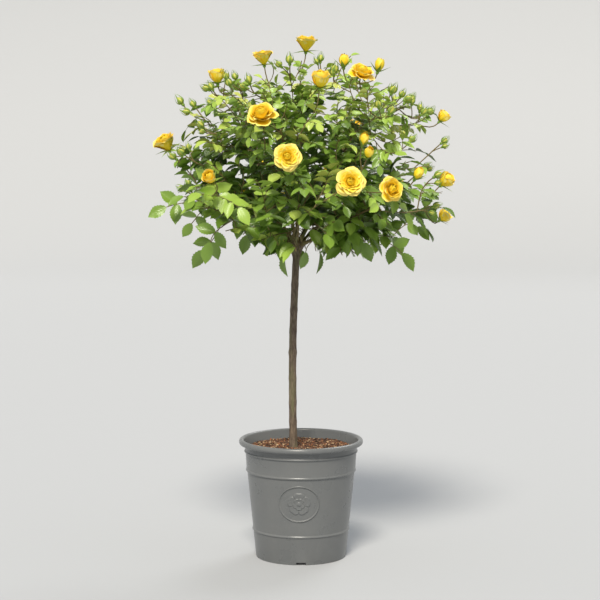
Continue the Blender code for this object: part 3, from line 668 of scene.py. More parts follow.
def smoothed(path, radii, steps):
    """A path and its radii with smooth steps between the points."""
    places = [path[0] * 2 - path[1]] + list(path) + [path[-1] * 2 - path[-2]]
    fine, sizes = [], []
    for number in range(len(path) - 1):
        before, start, end, after = places[number:number + 4]
        for step in range(steps):
            t = step / steps
            fine.append(0.5 * (
                2 * start + (end - before) * t + (2 * before - 5 * start + 4 * end - after) * t * t
                + (3 * start - before - 3 * end + after) * t ** 3
            ))
            sizes.append(radii[number] + (radii[number + 1] - radii[number]) * t)
    return fine + [path[-1]], sizes + [radii[-1]]


boughs = []
chance = random.Random(5)
for ring, count, first, rise, (from_axis, height), stop, (root, tip) in RINGS:
    for number in range(count):
        turn = first + 360.0 / count * number + chance.uniform(-5, 5) * (count > 1)
        centre = Vector((0, 0, height + chance.uniform(-0.008, 0.008)))
        centre += direction(turn, 0) * from_axis
        out = direction(turn, rise)
        start = UNION_CENTRE + out * (UNION_RADIUS + SEAT_GAP)
        path = seated_bend(start, out, UNION_CENTRE.lerp(centre, stop), BOUGH_PIECES)
        for place in path[2:-1]:
            place += Vector([chance.uniform(-1, 1) for axis in range(3)]) * BOUGH_WANDER / 2
        radii = [root + (tip - root) * step / BOUGH_PIECES for step in range(BOUGH_PIECES + 1)]
        name = ring if count == 1 else f"{ring}_{number + 1}"
        boughs.append({"name": name, "path": path, "radii": radii, "centre": centre})

runs = []
for bough in boughs:
    path, radii = smoothed(bough["path"], bough["radii"], SMOOTH_STEPS)
    inward = (path[0] - path[1]).normalized()
    path.insert(0, path[0] + inward * BOUGH_SINK)
    radii.insert(0, radii[0])
    length = 0.0
    for number in range(1, len(path)):
        length += (path[number] - path[number - 1]).length
        radii[number] *= 1 + BOUGH_COLLAR * math.exp(-length / BOUGH_COLLAR_LENGTH)
    radii[0] = radii[1]
    runs.append((path, radii, 0))
mesh = tubes("boughs", runs, BOUGH_SIDES)
for vert, normal in zip(mesh.vertices, [vert.normal.copy() for vert in mesh.vertices]):
    vert.co += normal * lumps(vert.co, BOUGH_RELIEF)
bough_wood = stand("boughs", mesh, [bark("young_rose_bark", "4B4027", "86784C", "6C7A3C", 0.6, 0.4)])
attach(bough_wood, "root")
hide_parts(*[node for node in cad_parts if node.startswith("bough_")])


# Twigs: each mass of foliage grows on from its bough. A stem runs to the middle of the mass, and a
# twig forks off to every bloom, bud group and leafy tip of that mass from the place that best reaches
# it. They are green to red-brown young wood, thinner than a pencil lead at their ends.
CROWN_CENTRE = Vector((0.0, 0.0, 0.700))
CROWN_RADIUS = 0.298
CROWN_RISE = 0.298
CROWN_DROP = 0.145
CROWN_ROUNDNESS = 2.2
TWIG_SIDES = 6
TWIG_STEP = 0.010
STEM_TIP_RADIUS = 0.0020
TWIG_TIP_RADIUS = 0.0009
FLOWER_TWIG_RADIUS = 0.0012
TWIG_THICKENING = 0.0050
TWIG_SHARE_OF_PARENT = 0.75
TWIG_CLEARANCE = 0.0022
TWIG_SHORTEST = 0.018
TWIG_WANDER = 0.0022
SHARP_TURN_COST = 0.9
MASS_OVERLAP = 0.006
GOLDEN_ANGLE = math.pi * (3.0 - math.sqrt(5.0))
BACK_TURN = 171.0
BACK_LIFT = -8.0

# Blooms: degrees round from +X, degrees up from the crown's centre, share of the crown's reach, stage,
# where the face looks in the same two angles, and size. Bud groups: the first three of these.
BLOOMS = (
    (309, 87, 0.96, "cup", 290, 84, 1.0), (218, 71, 0.91, "cup", 216, 80, 0.98),
    (253, 33, 0.95, "globe", 256, 54, 0.98), (265, 17, 0.96, "open", 268, 8, 0.83),
    (288, 8, 0.96, "open", 276, 14, 0.90), (305, 5, 0.96, "globe", 294, 16, 0.82),
    (313, 55, 0.93, "globe", 300, 66, 0.86), (182, 21, 0.91, "cup", 210, 60, 1.10),
    (196, 54, 0.91, "half", 190, 84, 1.0), (281, 50, 0.93, "half", 290, 74, 1.08),
    (356, 59, 0.94, "opening", 350, 76, 1.0), (310, 64, 0.93, "opening", 310, 84, 1.0),
    (234, 9, 0.94, "half", 236, 34, 0.85), (357, 29, 1.01, "half", 357, 50, 0.84),
    (358, 6, 0.93, "half", 340, 42, 1.0), (355, -8, 0.94, "half", 350, 44, 0.84),
    (320, 10, 0.94, "opening", 330, 56, 0.95), (295, 23, 0.95, "opening", 300, 62, 0.9),
    (296, 18, 0.96, "opening", 290, 45, 0.9),
)
BUD_GROUPS = (
    (183, 38, 0.94), (193, 40, 0.88), (214, 53, 0.87), (198, 60, 0.85), (233, 54, 0.88), (201, 49, 0.89),
    (256, 71, 0.89), (317, 79, 0.88), (304, 65, 0.86), (332, 46, 0.90), (341, 44, 0.90), (348, 41, 0.91),
    (346, 34, 0.93), (355, 33, 0.95), (317, 36, 0.90), (356, 21, 0.96), (338, 9, 0.92), (340, -3, 0.90),
    (209, 19, 0.88), (196, 17, 0.86), (223, 29, 0.93),
)
BUD_MIDDLE = 0.010
BLOOM_FOOT = {"open": 0.0130, "globe": 0.0150, "cup": 0.0190, "half": 0.0190, "opening": 0.0175,
              "buds": 0.0}
BLOOM_ROOM = {"open": 0.027, "globe": 0.026, "cup": 0.020, "half": 0.015, "opening": 0.009, "buds": 0.005}

# Leafy tips: how many, the seed of their spread, and how far out they reach as a share of the leaves'
# own room, which keeps inside the blooms at the top and is uneven all round
LEAF_SHELLS = ((230, 3, 0.90, 1.00), (170, 6, 0.74, 0.88), (130, 8, 0.54, 0.70), (60, 9, 0.34, 0.50))
LEAF_ROOM = 0.95
LEAF_ROOM_LESS_AT_TOP = 0.02
LEAF_ROOM_UNEVEN = 0.28
LEAF_ROOM_BUMPS = 4.2
UNDERSIDE = 0.578
UNDERSIDE_LIFT_LEFT = 0.080
UNDERSIDE_SLOPE = 0.05
HOLLOW_SCALE = 17.0
HOLLOW_INSIDE = 0.60
HOLLOW_OUTSIDE = 0.15
HOLLOW_MORE_RIGHT = 0.20
HOLLOW_LESS_LEFT = 0.0
HOLLOW_LESS_ON_TOP = 0.20

# Long single leaves that hang below the sprays: where the end leaflet starts, where its point is, the
# way that its face looks in degrees round from +X, and its pairs of side leaflets
HANGING_LEAVES = (
    ((-0.170, -0.080, 0.617), (-0.180, -0.084, 0.575), 262, 1),
    ((-0.256, -0.020, 0.679), (-0.295, -0.024, 0.662), 250, 1),
    ((-0.032, -0.030, 0.589), (-0.037, -0.034, 0.548), 215, 0),
    ((0.009, -0.035, 0.595), (0.005, -0.039, 0.558), 300, 0),
    ((-0.069, -0.080, 0.642), (-0.070, -0.084, 0.608), 260, 1),
    ((0.064, -0.100, 0.632), (0.062, -0.104, 0.587), 268, 1),
    ((0.119, -0.080, 0.617), (0.122, -0.084, 0.574), 275, 1),
    ((0.192, -0.020, 0.591), (0.220, -0.024, 0.560), 285, 1),
    ((0.220, -0.030, 0.642), (0.243, -0.034, 0.614), 290, 1),
    ((-0.120, -0.120, 0.669), (-0.117, -0.124, 0.632), 262, 1),
)
LEAFLET_LENGTH = 0.040
LEAFLET_SMALLEST = 0.52
LEAF_SPLAY = 0.25
LEAF_SPLAY_AT_TOP = 0.6


def crown_reach(way):
    """How far the crown reaches from its centre in a direction."""
    level = math.hypot(way.x, way.y) / CROWN_RADIUS
    upright = abs(way.z) / (CROWN_RISE if way.z > 0 else CROWN_DROP)
    return (level ** CROWN_ROUNDNESS + upright ** CROWN_ROUNDNESS) ** (-1 / CROWN_ROUNDNESS)


def leaf_reach(way):
    """How far leaves reach from the crown's centre in a direction."""
    share = LEAF_ROOM - LEAF_ROOM_LESS_AT_TOP * smooth_step(0.2, 0.85, way.z)
    return crown_reach(way) * (share + LEAF_ROOM_UNEVEN * noise.noise(way * LEAF_ROOM_BUMPS))


def underside(place):
    """The lowest that sprays hang at a place, but for single long leaves: higher on the left."""
    lowest = UNDERSIDE + UNDERSIDE_SLOPE * math.hypot(place.x, place.y)
    return lowest + UNDERSIDE_LIFT_LEFT * smooth_step(0.02, 0.22, -place.x)


def is_hollow(place):
    """Whether a place is in one of the gaps between the sprays, which are open towards the outside."""
    arm = place - CROWN_CENTRE
    outward = arm.length / crown_reach(arm.normalized())
    limit = HOLLOW_INSIDE + (HOLLOW_OUTSIDE - HOLLOW_INSIDE) * smooth_step(0.50, 0.85, outward)
    limit -= HOLLOW_MORE_RIGHT * smooth_step(0.08, 0.2, place.x)
    limit += HOLLOW_LESS_LEFT * smooth_step(0.04, 0.12, -place.x)
    limit += HOLLOW_LESS_ON_TOP * smooth_step(0.80, 0.90, place.z)
    return noise.noise(place * HOLLOW_SCALE) > limit


def leaf_size(height):
    """Share of full size: leaves are large low in the crown and small near its top."""
    share = (height - CROWN_CENTRE.z + 0.06) / CROWN_RISE
    return 1.0 - (1.0 - LEAFLET_SMALLEST) * min(max(share, 0.0), 1.0)


def spread_ways(count, seed):
    """Directions spread evenly over a ball by the golden angle, with a little chance."""
    chance = random.Random(seed)
    ways = []
    for number in range(count):
        up = 1.0 - 2.0 * (number + 0.5) / count
        turn = number * GOLDEN_ANGLE + chance.uniform(-0.2, 0.2)
        level = math.sqrt(1.0 - up * up)
        ways.append(Vector((level * math.cos(turn), level * math.sin(turn), up)))
    return ways


def with_back(plan):
    """The plan of the front, and again turned half round for the back, but for the rim and the top."""
    back = []
    for turn, rise, share, *more in plan:
        if 200 < turn < 340 and rise < 50:
            if more:
                more[1] += BACK_TURN
            back.append((turn + BACK_TURN, rise + BACK_LIFT, share, *more))
    return list(plan) + back


def leaf_tip(way, reach, turn, size):
    """A leaf twig's end: it splays from the straight way out, and its blade's point is at the reach."""
    level = Vector((math.cos(turn), math.sin(turn), 0.0))
    arriving = (way + level * (LEAF_SPLAY + LEAF_SPLAY_AT_TOP * max(way.z, 0.0))).normalized()
    end = CROWN_CENTRE + way * reach - arriving * LEAFLET_LENGTH * size * 0.9
    return {"kind": "leaf", "end": end, "way": arriving}


class Space:
    """The room that one mass keeps to: nearer to its own centre than to any other."""

    def __init__(self, centre, centres):
        self.centre = centre
        self.others = [(other, 2 * (other - centre).length) for other in centres if other is not centre]

    def holds(self, point, margin):
        own = (point - self.centre).length_squared
        return all((point - other).length_squared - own >= apart * margin for other, apart in self.others)


def distance_to_line(point, start, end):
    along = end - start
    share = (point - start).dot(along) / along.length_squared
    return (point - start - along * min(max(share, 0.0), 1.0)).length


limb_lines = []
for bough in boughs:
    limb_lines += list(zip(bough["path"], bough["path"][1:], bough["radii"]))
line_heights = [0.45, 0.52, 0.577, 0.590, UNION_CENTRE.z, UNION_CENTRE.z + 0.5 * UNION_RADIUS]
for low, high in zip(line_heights, line_heights[1:]):
    limb_lines.append((stem_axis(low), stem_axis(high), max(stem_radius(low), stem_radius(high))))

tips = []
for turn, rise, share, stage, face_turn, face_rise, size in with_back(BLOOMS):
    way, facing = direction(turn, rise), direction(face_turn, face_rise)
    centre = CROWN_CENTRE + way * crown_reach(way) * share
    tips.append({"kind": stage, "end": centre - facing * BLOOM_FOOT[stage] * size, "way": facing,
                 "size": size})
for turn, rise, share in with_back(BUD_GROUPS):
    way = direction(turn, rise)
    facing = (way + Vector((0.0, 0.0, 0.45))).normalized()
    tips.append({"kind": "buds", "end": CROWN_CENTRE + way * crown_reach(way) * share - facing * BUD_MIDDLE,
                 "way": facing})
bloom_rooms = [(tip["end"], tip["way"], BLOOM_ROOM[tip["kind"]]) for tip in tips]
chance = random.Random(11)
for half_turn in (0.0, BACK_TURN):
    turned = Matrix.Rotation(math.radians(half_turn), 3, "Z")
    for start, point, face_turn, pairs in HANGING_LEAVES:
        blade = turned @ (Vector(point) - Vector(start))
        tips.append({"kind": "leaf", "end": turned @ Vector(start), "way": blade.normalized(),
                     "face": direction(face_turn + half_turn, 10), "pairs": pairs,
                     "blade": blade.length / LEAFLET_LENGTH})
for count, seed, nearest, furthest in LEAF_SHELLS:
    for number, way in enumerate(spread_ways(count, seed)):
        reach = leaf_reach(way) * chance.uniform(nearest, furthest)
        size = leaf_size(CROWN_CENTRE.z + way.z * reach)
        tip = leaf_tip(way, reach, number * GOLDEN_ANGLE, size)
        if not is_hollow(tip["end"]) and tip["end"].z > underside(tip["end"]):
            tips.append(tip)


def is_clear(point, margin):
    """Whether a place is off every limb."""
    return all(distance_to_line(point, start, end) > radius + margin for start, end, radius in limb_lines)


def hides_bloom(point, own_end=None):
    """Whether a place is inside a bloom or in front of its face."""
    for foot, facing, room in bloom_rooms:
        arm = point - foot
        ahead = arm.dot(facing)
        if 0.0 < ahead < 0.12 and (arm - facing * ahead).length < room and foot is not own_end:
            return True
    return False


def choose_fork(forks, end):
    """The place on the growing mass from which a twig best reaches its end."""
    best = None
    for fork in forks:
        reach = end - fork["place"]
        if reach.length < TWIG_SHORTEST:
            continue
        turn = 1.0 - fork["along"].dot(reach.normalized())
        cost = reach.length * (1.0 + SHARP_TURN_COST * turn)
        if best is None or cost < best[0]:
            best = (cost, fork)
    return best[1] if best else None


def forks_on(path, radii):
    """Where later twigs may fork from a twig."""
    return [
        {"place": place, "along": (after - place).normalized(), "radius": radius}
        for place, after, radius in zip(path[1:], path[2:], radii[1:])
    ]


twigs = []
space_centres = [bough["centre"] for bough in boughs]
for bough in boughs:
    space = Space(bough["centre"], space_centres)
    along = (bough["path"][-1] - bough["path"][-2]).normalized()
    start = bough["path"][-1] - along * 0.002
    pieces = 10
    path = seated_bend(start, along, bough["centre"], pieces)
    radii = [bough["radii"][-1] + (STEM_TIP_RADIUS - bough["radii"][-1]) * step / pieces
             for step in range(pieces + 1)]
    ring = bough["name"].split("_")[0]
    twigs.append({"kind": "stem", "path": path, "radii": radii, "ring": ring})
    forks = forks_on(path, radii)
    own = [tip for tip in tips if space.holds(tip["end"], 0.0)]
    own.sort(key=lambda tip: (tip["end"] - start).length)
    for tip in own:
        fork = choose_fork(forks, tip["end"])
        if fork is None:
            continue
        reach = (tip["end"] - fork["place"]).length
        pieces = max(3, round(reach / TWIG_STEP))
        path = bend(fork["place"], tip["end"] - tip["way"] * reach * 0.42, tip["end"], pieces)
        for step in range(1, pieces):
            sway = TWIG_WANDER * math.sin(math.pi * step / pieces)
            path[step] = path[step] + noise.noise_vector(path[step] * 28.0) * sway
        if not all(space.holds(place, -MASS_OVERLAP) and is_clear(place, TWIG_CLEARANCE)
                   for place in path[2:]):
            continue
        if any(hides_bloom(place, tip["end"]) for place in path[1:]):
            continue
        end = FLOWER_TWIG_RADIUS if tip["kind"] in BLOOM_FOOT else TWIG_TIP_RADIUS
        root = max(min(fork["radius"] * TWIG_SHARE_OF_PARENT, end + TWIG_THICKENING * reach), end)
        radii = [root + (end - root) * step / pieces for step in range(pieces + 1)]
        twigs.append({**tip, "path": path, "radii": radii, "ring": ring})
        forks += forks_on(path[:-2], radii)


# Leaves: a rose leaf is five or seven saw-edged leaflets on one thin stalk, each a little folded along
# its rib and drooping at its point, deep glossy green above, and paler and softer when it is young. The
# greens are dealt out by place: darker deep in the crown and low in it, as painted shade, and paler outside
# and near the top, partly for the young leaves there and partly as painted light shining through leaves.
LEAFLET_WIDTH = 0.58
LEAFLET_TEETH = 0.08
LEAFLET_SHAPES = 8
LEAFLET_DROOP = 0.42
LEAFLET_SPREAD = 66.0
LEAF_SPACING = 0.016
LEAF_ANGLE = 52.0
STALK_LENGTH = 0.064
STALK_SIDES = 4
STALK_RADII = (0.00085, 0.00040)
LEAFLET_PAIRS = (0.020, 0.038, 0.053)
BARE_ENDS = {"leaf": 0.048, "stem": 0.004, "buds": 0.024}
BARE_END_OF_BLOOM = 0.036
BARE_END_OF_HANGING = 0.090
BARE_NECK = (0.034, 0.652)

chance = random.Random(31)


def leaflet_shape(fold, curl, ripple):
    """A leaflet one unit long on the origin, along +Y with its upper face to +Z."""
    bm = bmesh.new()
    bm.loops.layers.uv.new("surface")
    bmesh.ops.create_grid(bm, x_segments=4, y_segments=8, size=0.5, calc_uvs=True)
    sides = [edge for edge in bm.edges if edge.is_boundary and edge.verts[0].co.x == edge.verts[1].co.x]
    split = bmesh.ops.subdivide_edges(bm, edges=sides, cuts=1)
    teeth = {part for part in split["geom_inner"] if isinstance(part, bmesh.types.BMVert)}
    for vert in bm.verts:
        side, along = 2 * vert.co.x, vert.co.y + 0.5
        half = LEAFLET_WIDTH / 2 * math.sin(math.pi * along ** 0.9) ** (0.66 + 0.45 * along)
        if abs(side) > 0.9:
            half *= 1.0 + (LEAFLET_TEETH if vert in teeth else -LEAFLET_TEETH)
        forward = 0.03 * abs(side) * math.sin(math.pi * along)
        lift = fold * abs(side) * half - curl * along ** 2
        lift += ripple * abs(side) * math.sin(5 * math.pi * along)
        vert.co = (side * half, along + forward, lift)
    bmesh.ops.remove_doubles(bm, verts=bm.verts, dist=1e-5)
    return shape_of(bm)


leaflet_shapes = [
    leaflet_shape(chance.uniform(0.16, 0.55), chance.uniform(0.02, 0.20), chance.uniform(0.0, 0.02))
    for number in range(LEAFLET_SHAPES)
]


def frame_at(place, along, up, size):
    """The matrix that lays a unit shape at a place, along its way, with its face to an up direction."""
    face = (up - along * up.dot(along)).normalized()
    side = along.cross(face)
    turn = Matrix((side, along, face)).transposed().to_4x4()
    return Matrix.Translation(place) @ turn @ Matrix.Scale(size, 4)


def point_back_from_end(path, distance):
    """The point on the path at a distance back from its end, and the way the path runs there."""
    for near, far in zip(reversed(path), reversed(path[:-1])):
        stretch = (far - near).length
        if distance <= stretch:
            return near.lerp(far, distance / stretch), (near - far).normalized()
        distance -= stretch
    return path[0].copy(), (path[1] - path[0]).normalized()


def has_room(place):
    """Whether a leaf may be at a place: inside the leaves' reach, and clear of the bare neck below."""
    arm = place - CROWN_CENTRE
    if abs(place.x) < BARE_NECK[0] and place.z < BARE_NECK[1]:
        return False
    return arm.length < leaf_reach(arm.normalized()) and place.z > underside(place)


def leaf_tint(place, chance):
    """Number of a leaf's finish: painted shade inside and low, paler outside and near the top, partly painted
    light.
    """
    arm = place - CROWN_CENTRE
    outward = arm.length / crown_reach(arm.normalized())
    # Paler towards the outside and the top, partly for young leaves and partly as painted light
    young = 0.55 * outward + 0.45 * max(arm.z, 0.0) / CROWN_RISE + chance.gauss(0, 0.22)
    return min(max(int(young * 5.2 - 0.9), 0), 4)


leaves = {"low": [], "high": [], "top": []}
stalks = []


def add_leaf(path, size, ring, light=None, pairs=None):
    """Leaflets on a stalk: one at its end, and pairs further back, dropped where they do not fit."""
    end = path[-1]
    along = (path[-1] - path[-2]).normalized()
    out = (end - CROWN_CENTRE + Vector((0, 0, 0.05))).normalized()
    if light is None:
        light = out * chance.uniform(0.35, 1.0) + Vector((0, 0, 0.85))
        light += Vector([chance.gauss(0, 0.28) for axis in range(3)])
    face = (light - along * light.dot(along)).normalized()
    droop = Vector((0.0, 0.0, -LEAFLET_DROOP * chance.uniform(0.5, 1.5)))
    length = LEAFLET_LENGTH * size
    if pairs is None:
        rows = LEAFLET_PAIRS[:2 + (chance.random() < 0.3)]
        tint = leaf_tint(end, chance)
    else:
        rows = LEAFLET_PAIRS[:pairs]
        droop *= 0.3
        tint = 1
    blades = [(end, (along + droop).normalized(), length)]
    stalk_length = sum((after - before).length for before, after in zip(path, path[1:]))
    for number, back in enumerate(rows):
        if back * size > stalk_length * 0.92:
            break
        place, way = point_back_from_end(path, back * size)
        for hand in (-1, 1):
            turn = Quaternion(face, math.radians(hand * LEAFLET_SPREAD * chance.uniform(0.85, 1.15)))
            blades.append((place, (turn @ way + droop * 0.9).normalized(), length * (0.92 - 0.07 * number)))
    kept = 0
    for place, way, size_here in blades:
        size_here *= chance.uniform(0.92, 1.06)
        tests = (place + way * size_here * 0.5, place + way * size_here)
        if pairs is None and not has_room(tests[1]):
            continue
        if not all(is_clear(test, 0.0025) and not hides_bloom(test) for test in tests):
            continue
        up = face + Vector([chance.gauss(0, 0.14) for axis in range(3)])
        matrix = frame_at(place, way, up, size_here)
        leaves[ring].append((chance.choice(leaflet_shapes), matrix, tint))
        kept += 1
    return kept


for twig in twigs:
    path, radii, ring = twig["path"], twig["radii"], twig["ring"]
    length = sum((after - before).length for before, after in zip(path, path[1:]))
    if "blade" in twig:
        add_leaf(path, twig["blade"], ring, twig["face"], twig["pairs"])
    elif twig["kind"] == "leaf":
        add_leaf(path, leaf_size(path[-1].z) * chance.uniform(0.85, 1.1), ring)
    back = BARE_END_OF_HANGING if "blade" in twig else BARE_ENDS.get(twig["kind"], BARE_END_OF_BLOOM)
    turn = chance.uniform(0, math.tau)
    while back < length - 0.010:
        place, way = point_back_from_end(path, back)
        size = leaf_size(place.z) * chance.uniform(0.75, 1.08)
        back += LEAF_SPACING * chance.uniform(0.8, 1.25)
        turn += GOLDEN_ANGLE
        aside = Quaternion(way, turn) @ way.orthogonal().normalized()
        lean = math.radians(LEAF_ANGLE * chance.uniform(0.8, 1.25))
        out = way * math.cos(lean) + aside * math.sin(lean)
        out = (out + (place - CROWN_CENTRE).normalized() * 0.35).normalized()
        reach = STALK_LENGTH * size * chance.uniform(0.75, 1.1)
        handle = place + out * reach * 0.55
        end = place + out * reach + Vector((0, 0, -0.22 * reach))
        if is_hollow(end) or hides_bloom(end) or not has_room(end):
            continue
        if not (is_clear(end, 0.004) and is_clear(handle, 0.003)):
            continue
        stalk = bend(place, handle, end, 4)
        if add_leaf(stalk, size, ring):
            stalks.append((stalk, [STALK_RADII[0] + (STALK_RADII[1] - STALK_RADII[0]) * step / 4
                                   for step in range(5)], 1))

wood_finishes = []
for name, colour, rough in (
    ("green_brown_twig_bark", "77693F", 0.6), ("green_leaf_stalk", "86A04A", 0.5),
    ("red_green_young_shoot", "8E7645", 0.5),
):
    made, tree, shader = finish(name, colour, Roughness=rough)
    place = add_node(tree, "ShaderNodeTexCoord").outputs["Object"]
    fibres = add_node(tree, "ShaderNodeTexNoise", {"Vector": place, "Scale": 900.0, "Detail": 3.0})
    bumps = add_node(tree, "ShaderNodeBump", {
        "Height": fibres.outputs["Fac"], "Strength": 0.3, "Distance": 0.0004,
    })
    tree.links.new(bumps.outputs["Normal"], shader.inputs["Normal"])
    wood_finishes.append(made)

# The five greens run from painted shade (rose_leaf_shaded, deep in the crown) to painted light (the fresh and
# young ones, outside and at the top, where young leaves also grow). All five are lighter than a rose leaf's own
# green, as painted light for the light that shines through leaves.
leaf_finishes = []
for name, colour in (
    ("rose_leaf_shaded", "587525"), ("rose_leaf_deep", "7B9B3B"), ("rose_leaf_green", "9CBA4C"),
    ("rose_leaf_fresh", "B2C75A"), ("rose_leaf_young", "BEC661"),
):
    made, tree, shader = finish(name, colour, Roughness=0.29, IOR=1.55)
    surface = add_node(tree, "ShaderNodeUVMap", uv_map="surface").outputs["UV"]
    parts = add_node(tree, "ShaderNodeSeparateXYZ", {"Vector": surface})
    aside = add_node(tree, "ShaderNodeMath", {
        0: add_node(tree, "ShaderNodeMath", {0: parts.outputs["X"], 1: 0.5}, operation="SUBTRACT").outputs[0],
    }, operation="ABSOLUTE")
    slanted = add_node(tree, "ShaderNodeMath", {
        0: add_node(tree, "ShaderNodeMath", {0: aside.outputs[0], 1: 0.9}, operation="MULTIPLY").outputs[0],
        1: parts.outputs["Y"],
    }, operation="SUBTRACT")
    veins = add_node(tree, "ShaderNodeMath", {
        0: add_node(tree, "ShaderNodeMath", {0: slanted.outputs[0], 1: 44.0}, operation="MULTIPLY").outputs[0],
    }, operation="SINE")
    bumps = add_node(tree, "ShaderNodeBump", {
        "Height": veins.outputs[0], "Strength": 0.22, "Distance": 0.0005,
    })
    tree.links.new(bumps.outputs["Normal"], shader.inputs["Normal"])
    leaf_finishes.append(made)

foliage_nodes = {ring: [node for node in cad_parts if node.startswith("foliage_" + ring)]
                 for ring in leaves}
for ring, copies in leaves.items():
    piece = stand("leaves_" + ring, joined("leaves_" + ring, copies), leaf_finishes)
    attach(piece, "root")
    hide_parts(*foliage_nodes[ring])

piece = stand("leaf_stalks", tubes("leaf_stalks", stalks, STALK_SIDES), wood_finishes)
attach(piece, "root")
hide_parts(*sum(foliage_nodes.values(), []))


# Blooms: double yellow roses. Each is rows of overlapping petals on a small green hip, paler at the
# outside and at every rim, with five pointed sepals below that fold back. The inner rows are painted
# lighter and less orange than a rose's golden heart, as painted light that lifts the shade between them.
# Rows, from the outside in: count, degrees that the petal leans out, length, width as a share of it,
# how far its middle bellies out, how far its rim rolls back, and the number of its finish
BLOOM_ROWS = {
    "open": (
        (5, 82, 0.0292, 1.12, 0.02, 0.50, 0), (5, 74, 0.0284, 1.08, 0.04, 0.42, 0),
        (6, 65, 0.0260, 1.00, 0.05, 0.34, 0), (6, 56, 0.0234, 0.92, 0.06, 0.28, 2),
        (6, 47, 0.0204, 0.86, 0.07, 0.24, 2), (6, 37, 0.0178, 0.80, 0.10, 0.20, 2),
        (5, 25, 0.0172, 0.76, 0.14, 0.12, 4), (5, 10, 0.0170, 0.76, 0.20, 0.05, 4),
        (4, -5, 0.0170, 0.78, 0.26, 0.00, 4),
    ),
    "globe": (
        (5, 76, 0.0292, 1.02, 0.06, 0.30, 0), (5, 50, 0.0282, 1.10, 0.12, 0.40, 0),
        (5, 41, 0.0266, 1.05, 0.13, 0.32, 2), (6, 32, 0.0248, 0.95, 0.14, 0.26, 2),
        (6, 23, 0.0232, 0.86, 0.15, 0.20, 2), (5, 14, 0.0230, 0.80, 0.17, 0.12, 4),
        (5, 5, 0.0228, 0.76, 0.20, 0.05, 4), (4, -5, 0.0228, 0.76, 0.25, 0.00, 4),
    ),
    "cup": (
        (5, 33, 0.0306, 1.00, 0.04, 0.30, 0), (5, 28, 0.0306, 0.98, 0.06, 0.25, 0),
        (5, 22, 0.0300, 0.94, 0.09, 0.25, 2), (5, 16, 0.0290, 0.88, 0.12, 0.20, 2),
        (5, 9, 0.0280, 0.80, 0.16, 0.15, 4), (5, 2, 0.0268, 0.76, 0.20, 0.05, 4),
        (4, -5, 0.0258, 0.74, 0.22, 0.00, 4),
    ),
    "half": (
        (4, 22, 0.0290, 0.96, 0.16, 0.45, 0), (4, 16, 0.0288, 0.92, 0.17, 0.28, 2),
        (4, 10, 0.0278, 0.86, 0.19, 0.15, 2), (4, 3, 0.0270, 0.80, 0.21, 0.05, 4),
        (4, -5, 0.0264, 0.74, 0.22, 0.00, 4),
    ),
    "opening": (
        (3, 12, 0.0250, 0.72, 0.17, -0.05, 2), (3, 8, 0.0258, 0.62, 0.17, -0.05, 2),
        (3, 0, 0.0250, 0.56, 0.17, -0.05, 4),
    ),
}
# Sepals: degrees that they lean out, length, how far they belly out and how far their points turn back
SEPALS = {
    "open": (104, 0.024, 0.00, 0.10), "globe": (102, 0.024, 0.00, 0.10), "cup": (86, 0.026, 0.00, 0.12),
    "half": (62, 0.026, 0.02, 0.20), "opening": (36, 0.026, 0.06, 0.16), "buds": (10, 0.0235, 0.22, -0.26),
}
HIP_SECTION = ((0.0, -0.0004), (0.0011, 0.0), (0.0030, 0.0022), (0.0034, 0.0042), (0.0028, 0.0062),
               (0.0, 0.0068))
BUD_SECTION = ((0.0, 0.0050), (0.0036, 0.0060), (0.0060, 0.0090), (0.0066, 0.0120), (0.0055, 0.0155),
               (0.0029, 0.0190), (0.0, 0.0212))
HIP_HEIGHT = 0.0052
BUD_SIDES = 10
PETAL_GRID = 6
PETAL_SHAPES = 3
PETAL_RUFFLE = 0.035

chance = random.Random(41)


def petal_shape(lean, width, belly, roll, phase):
    """A petal one unit long on the origin, along +Y with its hollow side to +Z and a pale rim."""
    bm = bmesh.new()
    bmesh.ops.create_grid(bm, x_segments=PETAL_GRID, y_segments=PETAL_GRID, size=0.5)
    for face in bm.faces:
        middle = face.calc_center_median()
        face.material_index = int(middle.y > 0.30 or (abs(middle.x) > 0.36 and middle.y > -0.05))
    for vert in bm.verts:
        side, along = 2 * vert.co.x, vert.co.y + 0.5
        half = width / 2 * (0.22 + 0.78 * math.sin(math.pi / 2 * min(along / 0.72, 1.0)))
        half *= 1 - 0.20 * smooth_step(0.78, 1.0, along)
        tip = 1 - 0.17 * abs(side) ** 2.4 * along ** 2
        tip += 0.05 * math.exp(-((side / 0.24) ** 2)) * along ** 4
        round_by = max(math.sin(math.radians(lean)) * along + belly * math.sin(math.pi * along), 0.0) + 0.07
        lift = side ** 2 * min(half ** 2 / (2 * round_by), 0.9 * half)
        lift -= belly * math.sin(math.pi * along)
        lift -= roll * max(along - 0.55, 0.0) ** 2 * (1.0 + 1.2 * side ** 2)
        lift += PETAL_RUFFLE * along ** 3 * math.sin(phase + 4.6 * side)
        vert.co = (side * half, along * tip, lift)
    return shape_of(bm)


def sepal_shape(belly, roll):
    """A long-pointed sepal one unit long, along +Y with its inner side to +Z."""
    bm = bmesh.new()
    bmesh.ops.create_grid(bm, x_segments=2, y_segments=7, size=0.5)
    for vert in bm.verts:
        side, along = 2 * vert.co.x, vert.co.y + 0.5
        half = 0.13 * (1 - along) ** 0.9 * (0.75 + 0.6 * math.sin(math.pi * min(along * 1.6, 1.0)))
        lift = 0.08 * side ** 2 * (1 - along) - roll * along ** 2 - belly * math.sin(math.pi * along ** 0.8)
        vert.co = (side * half, along, lift)
    bmesh.ops.remove_doubles(bm, verts=bm.verts, dist=1e-5)
    return shape_of(bm)


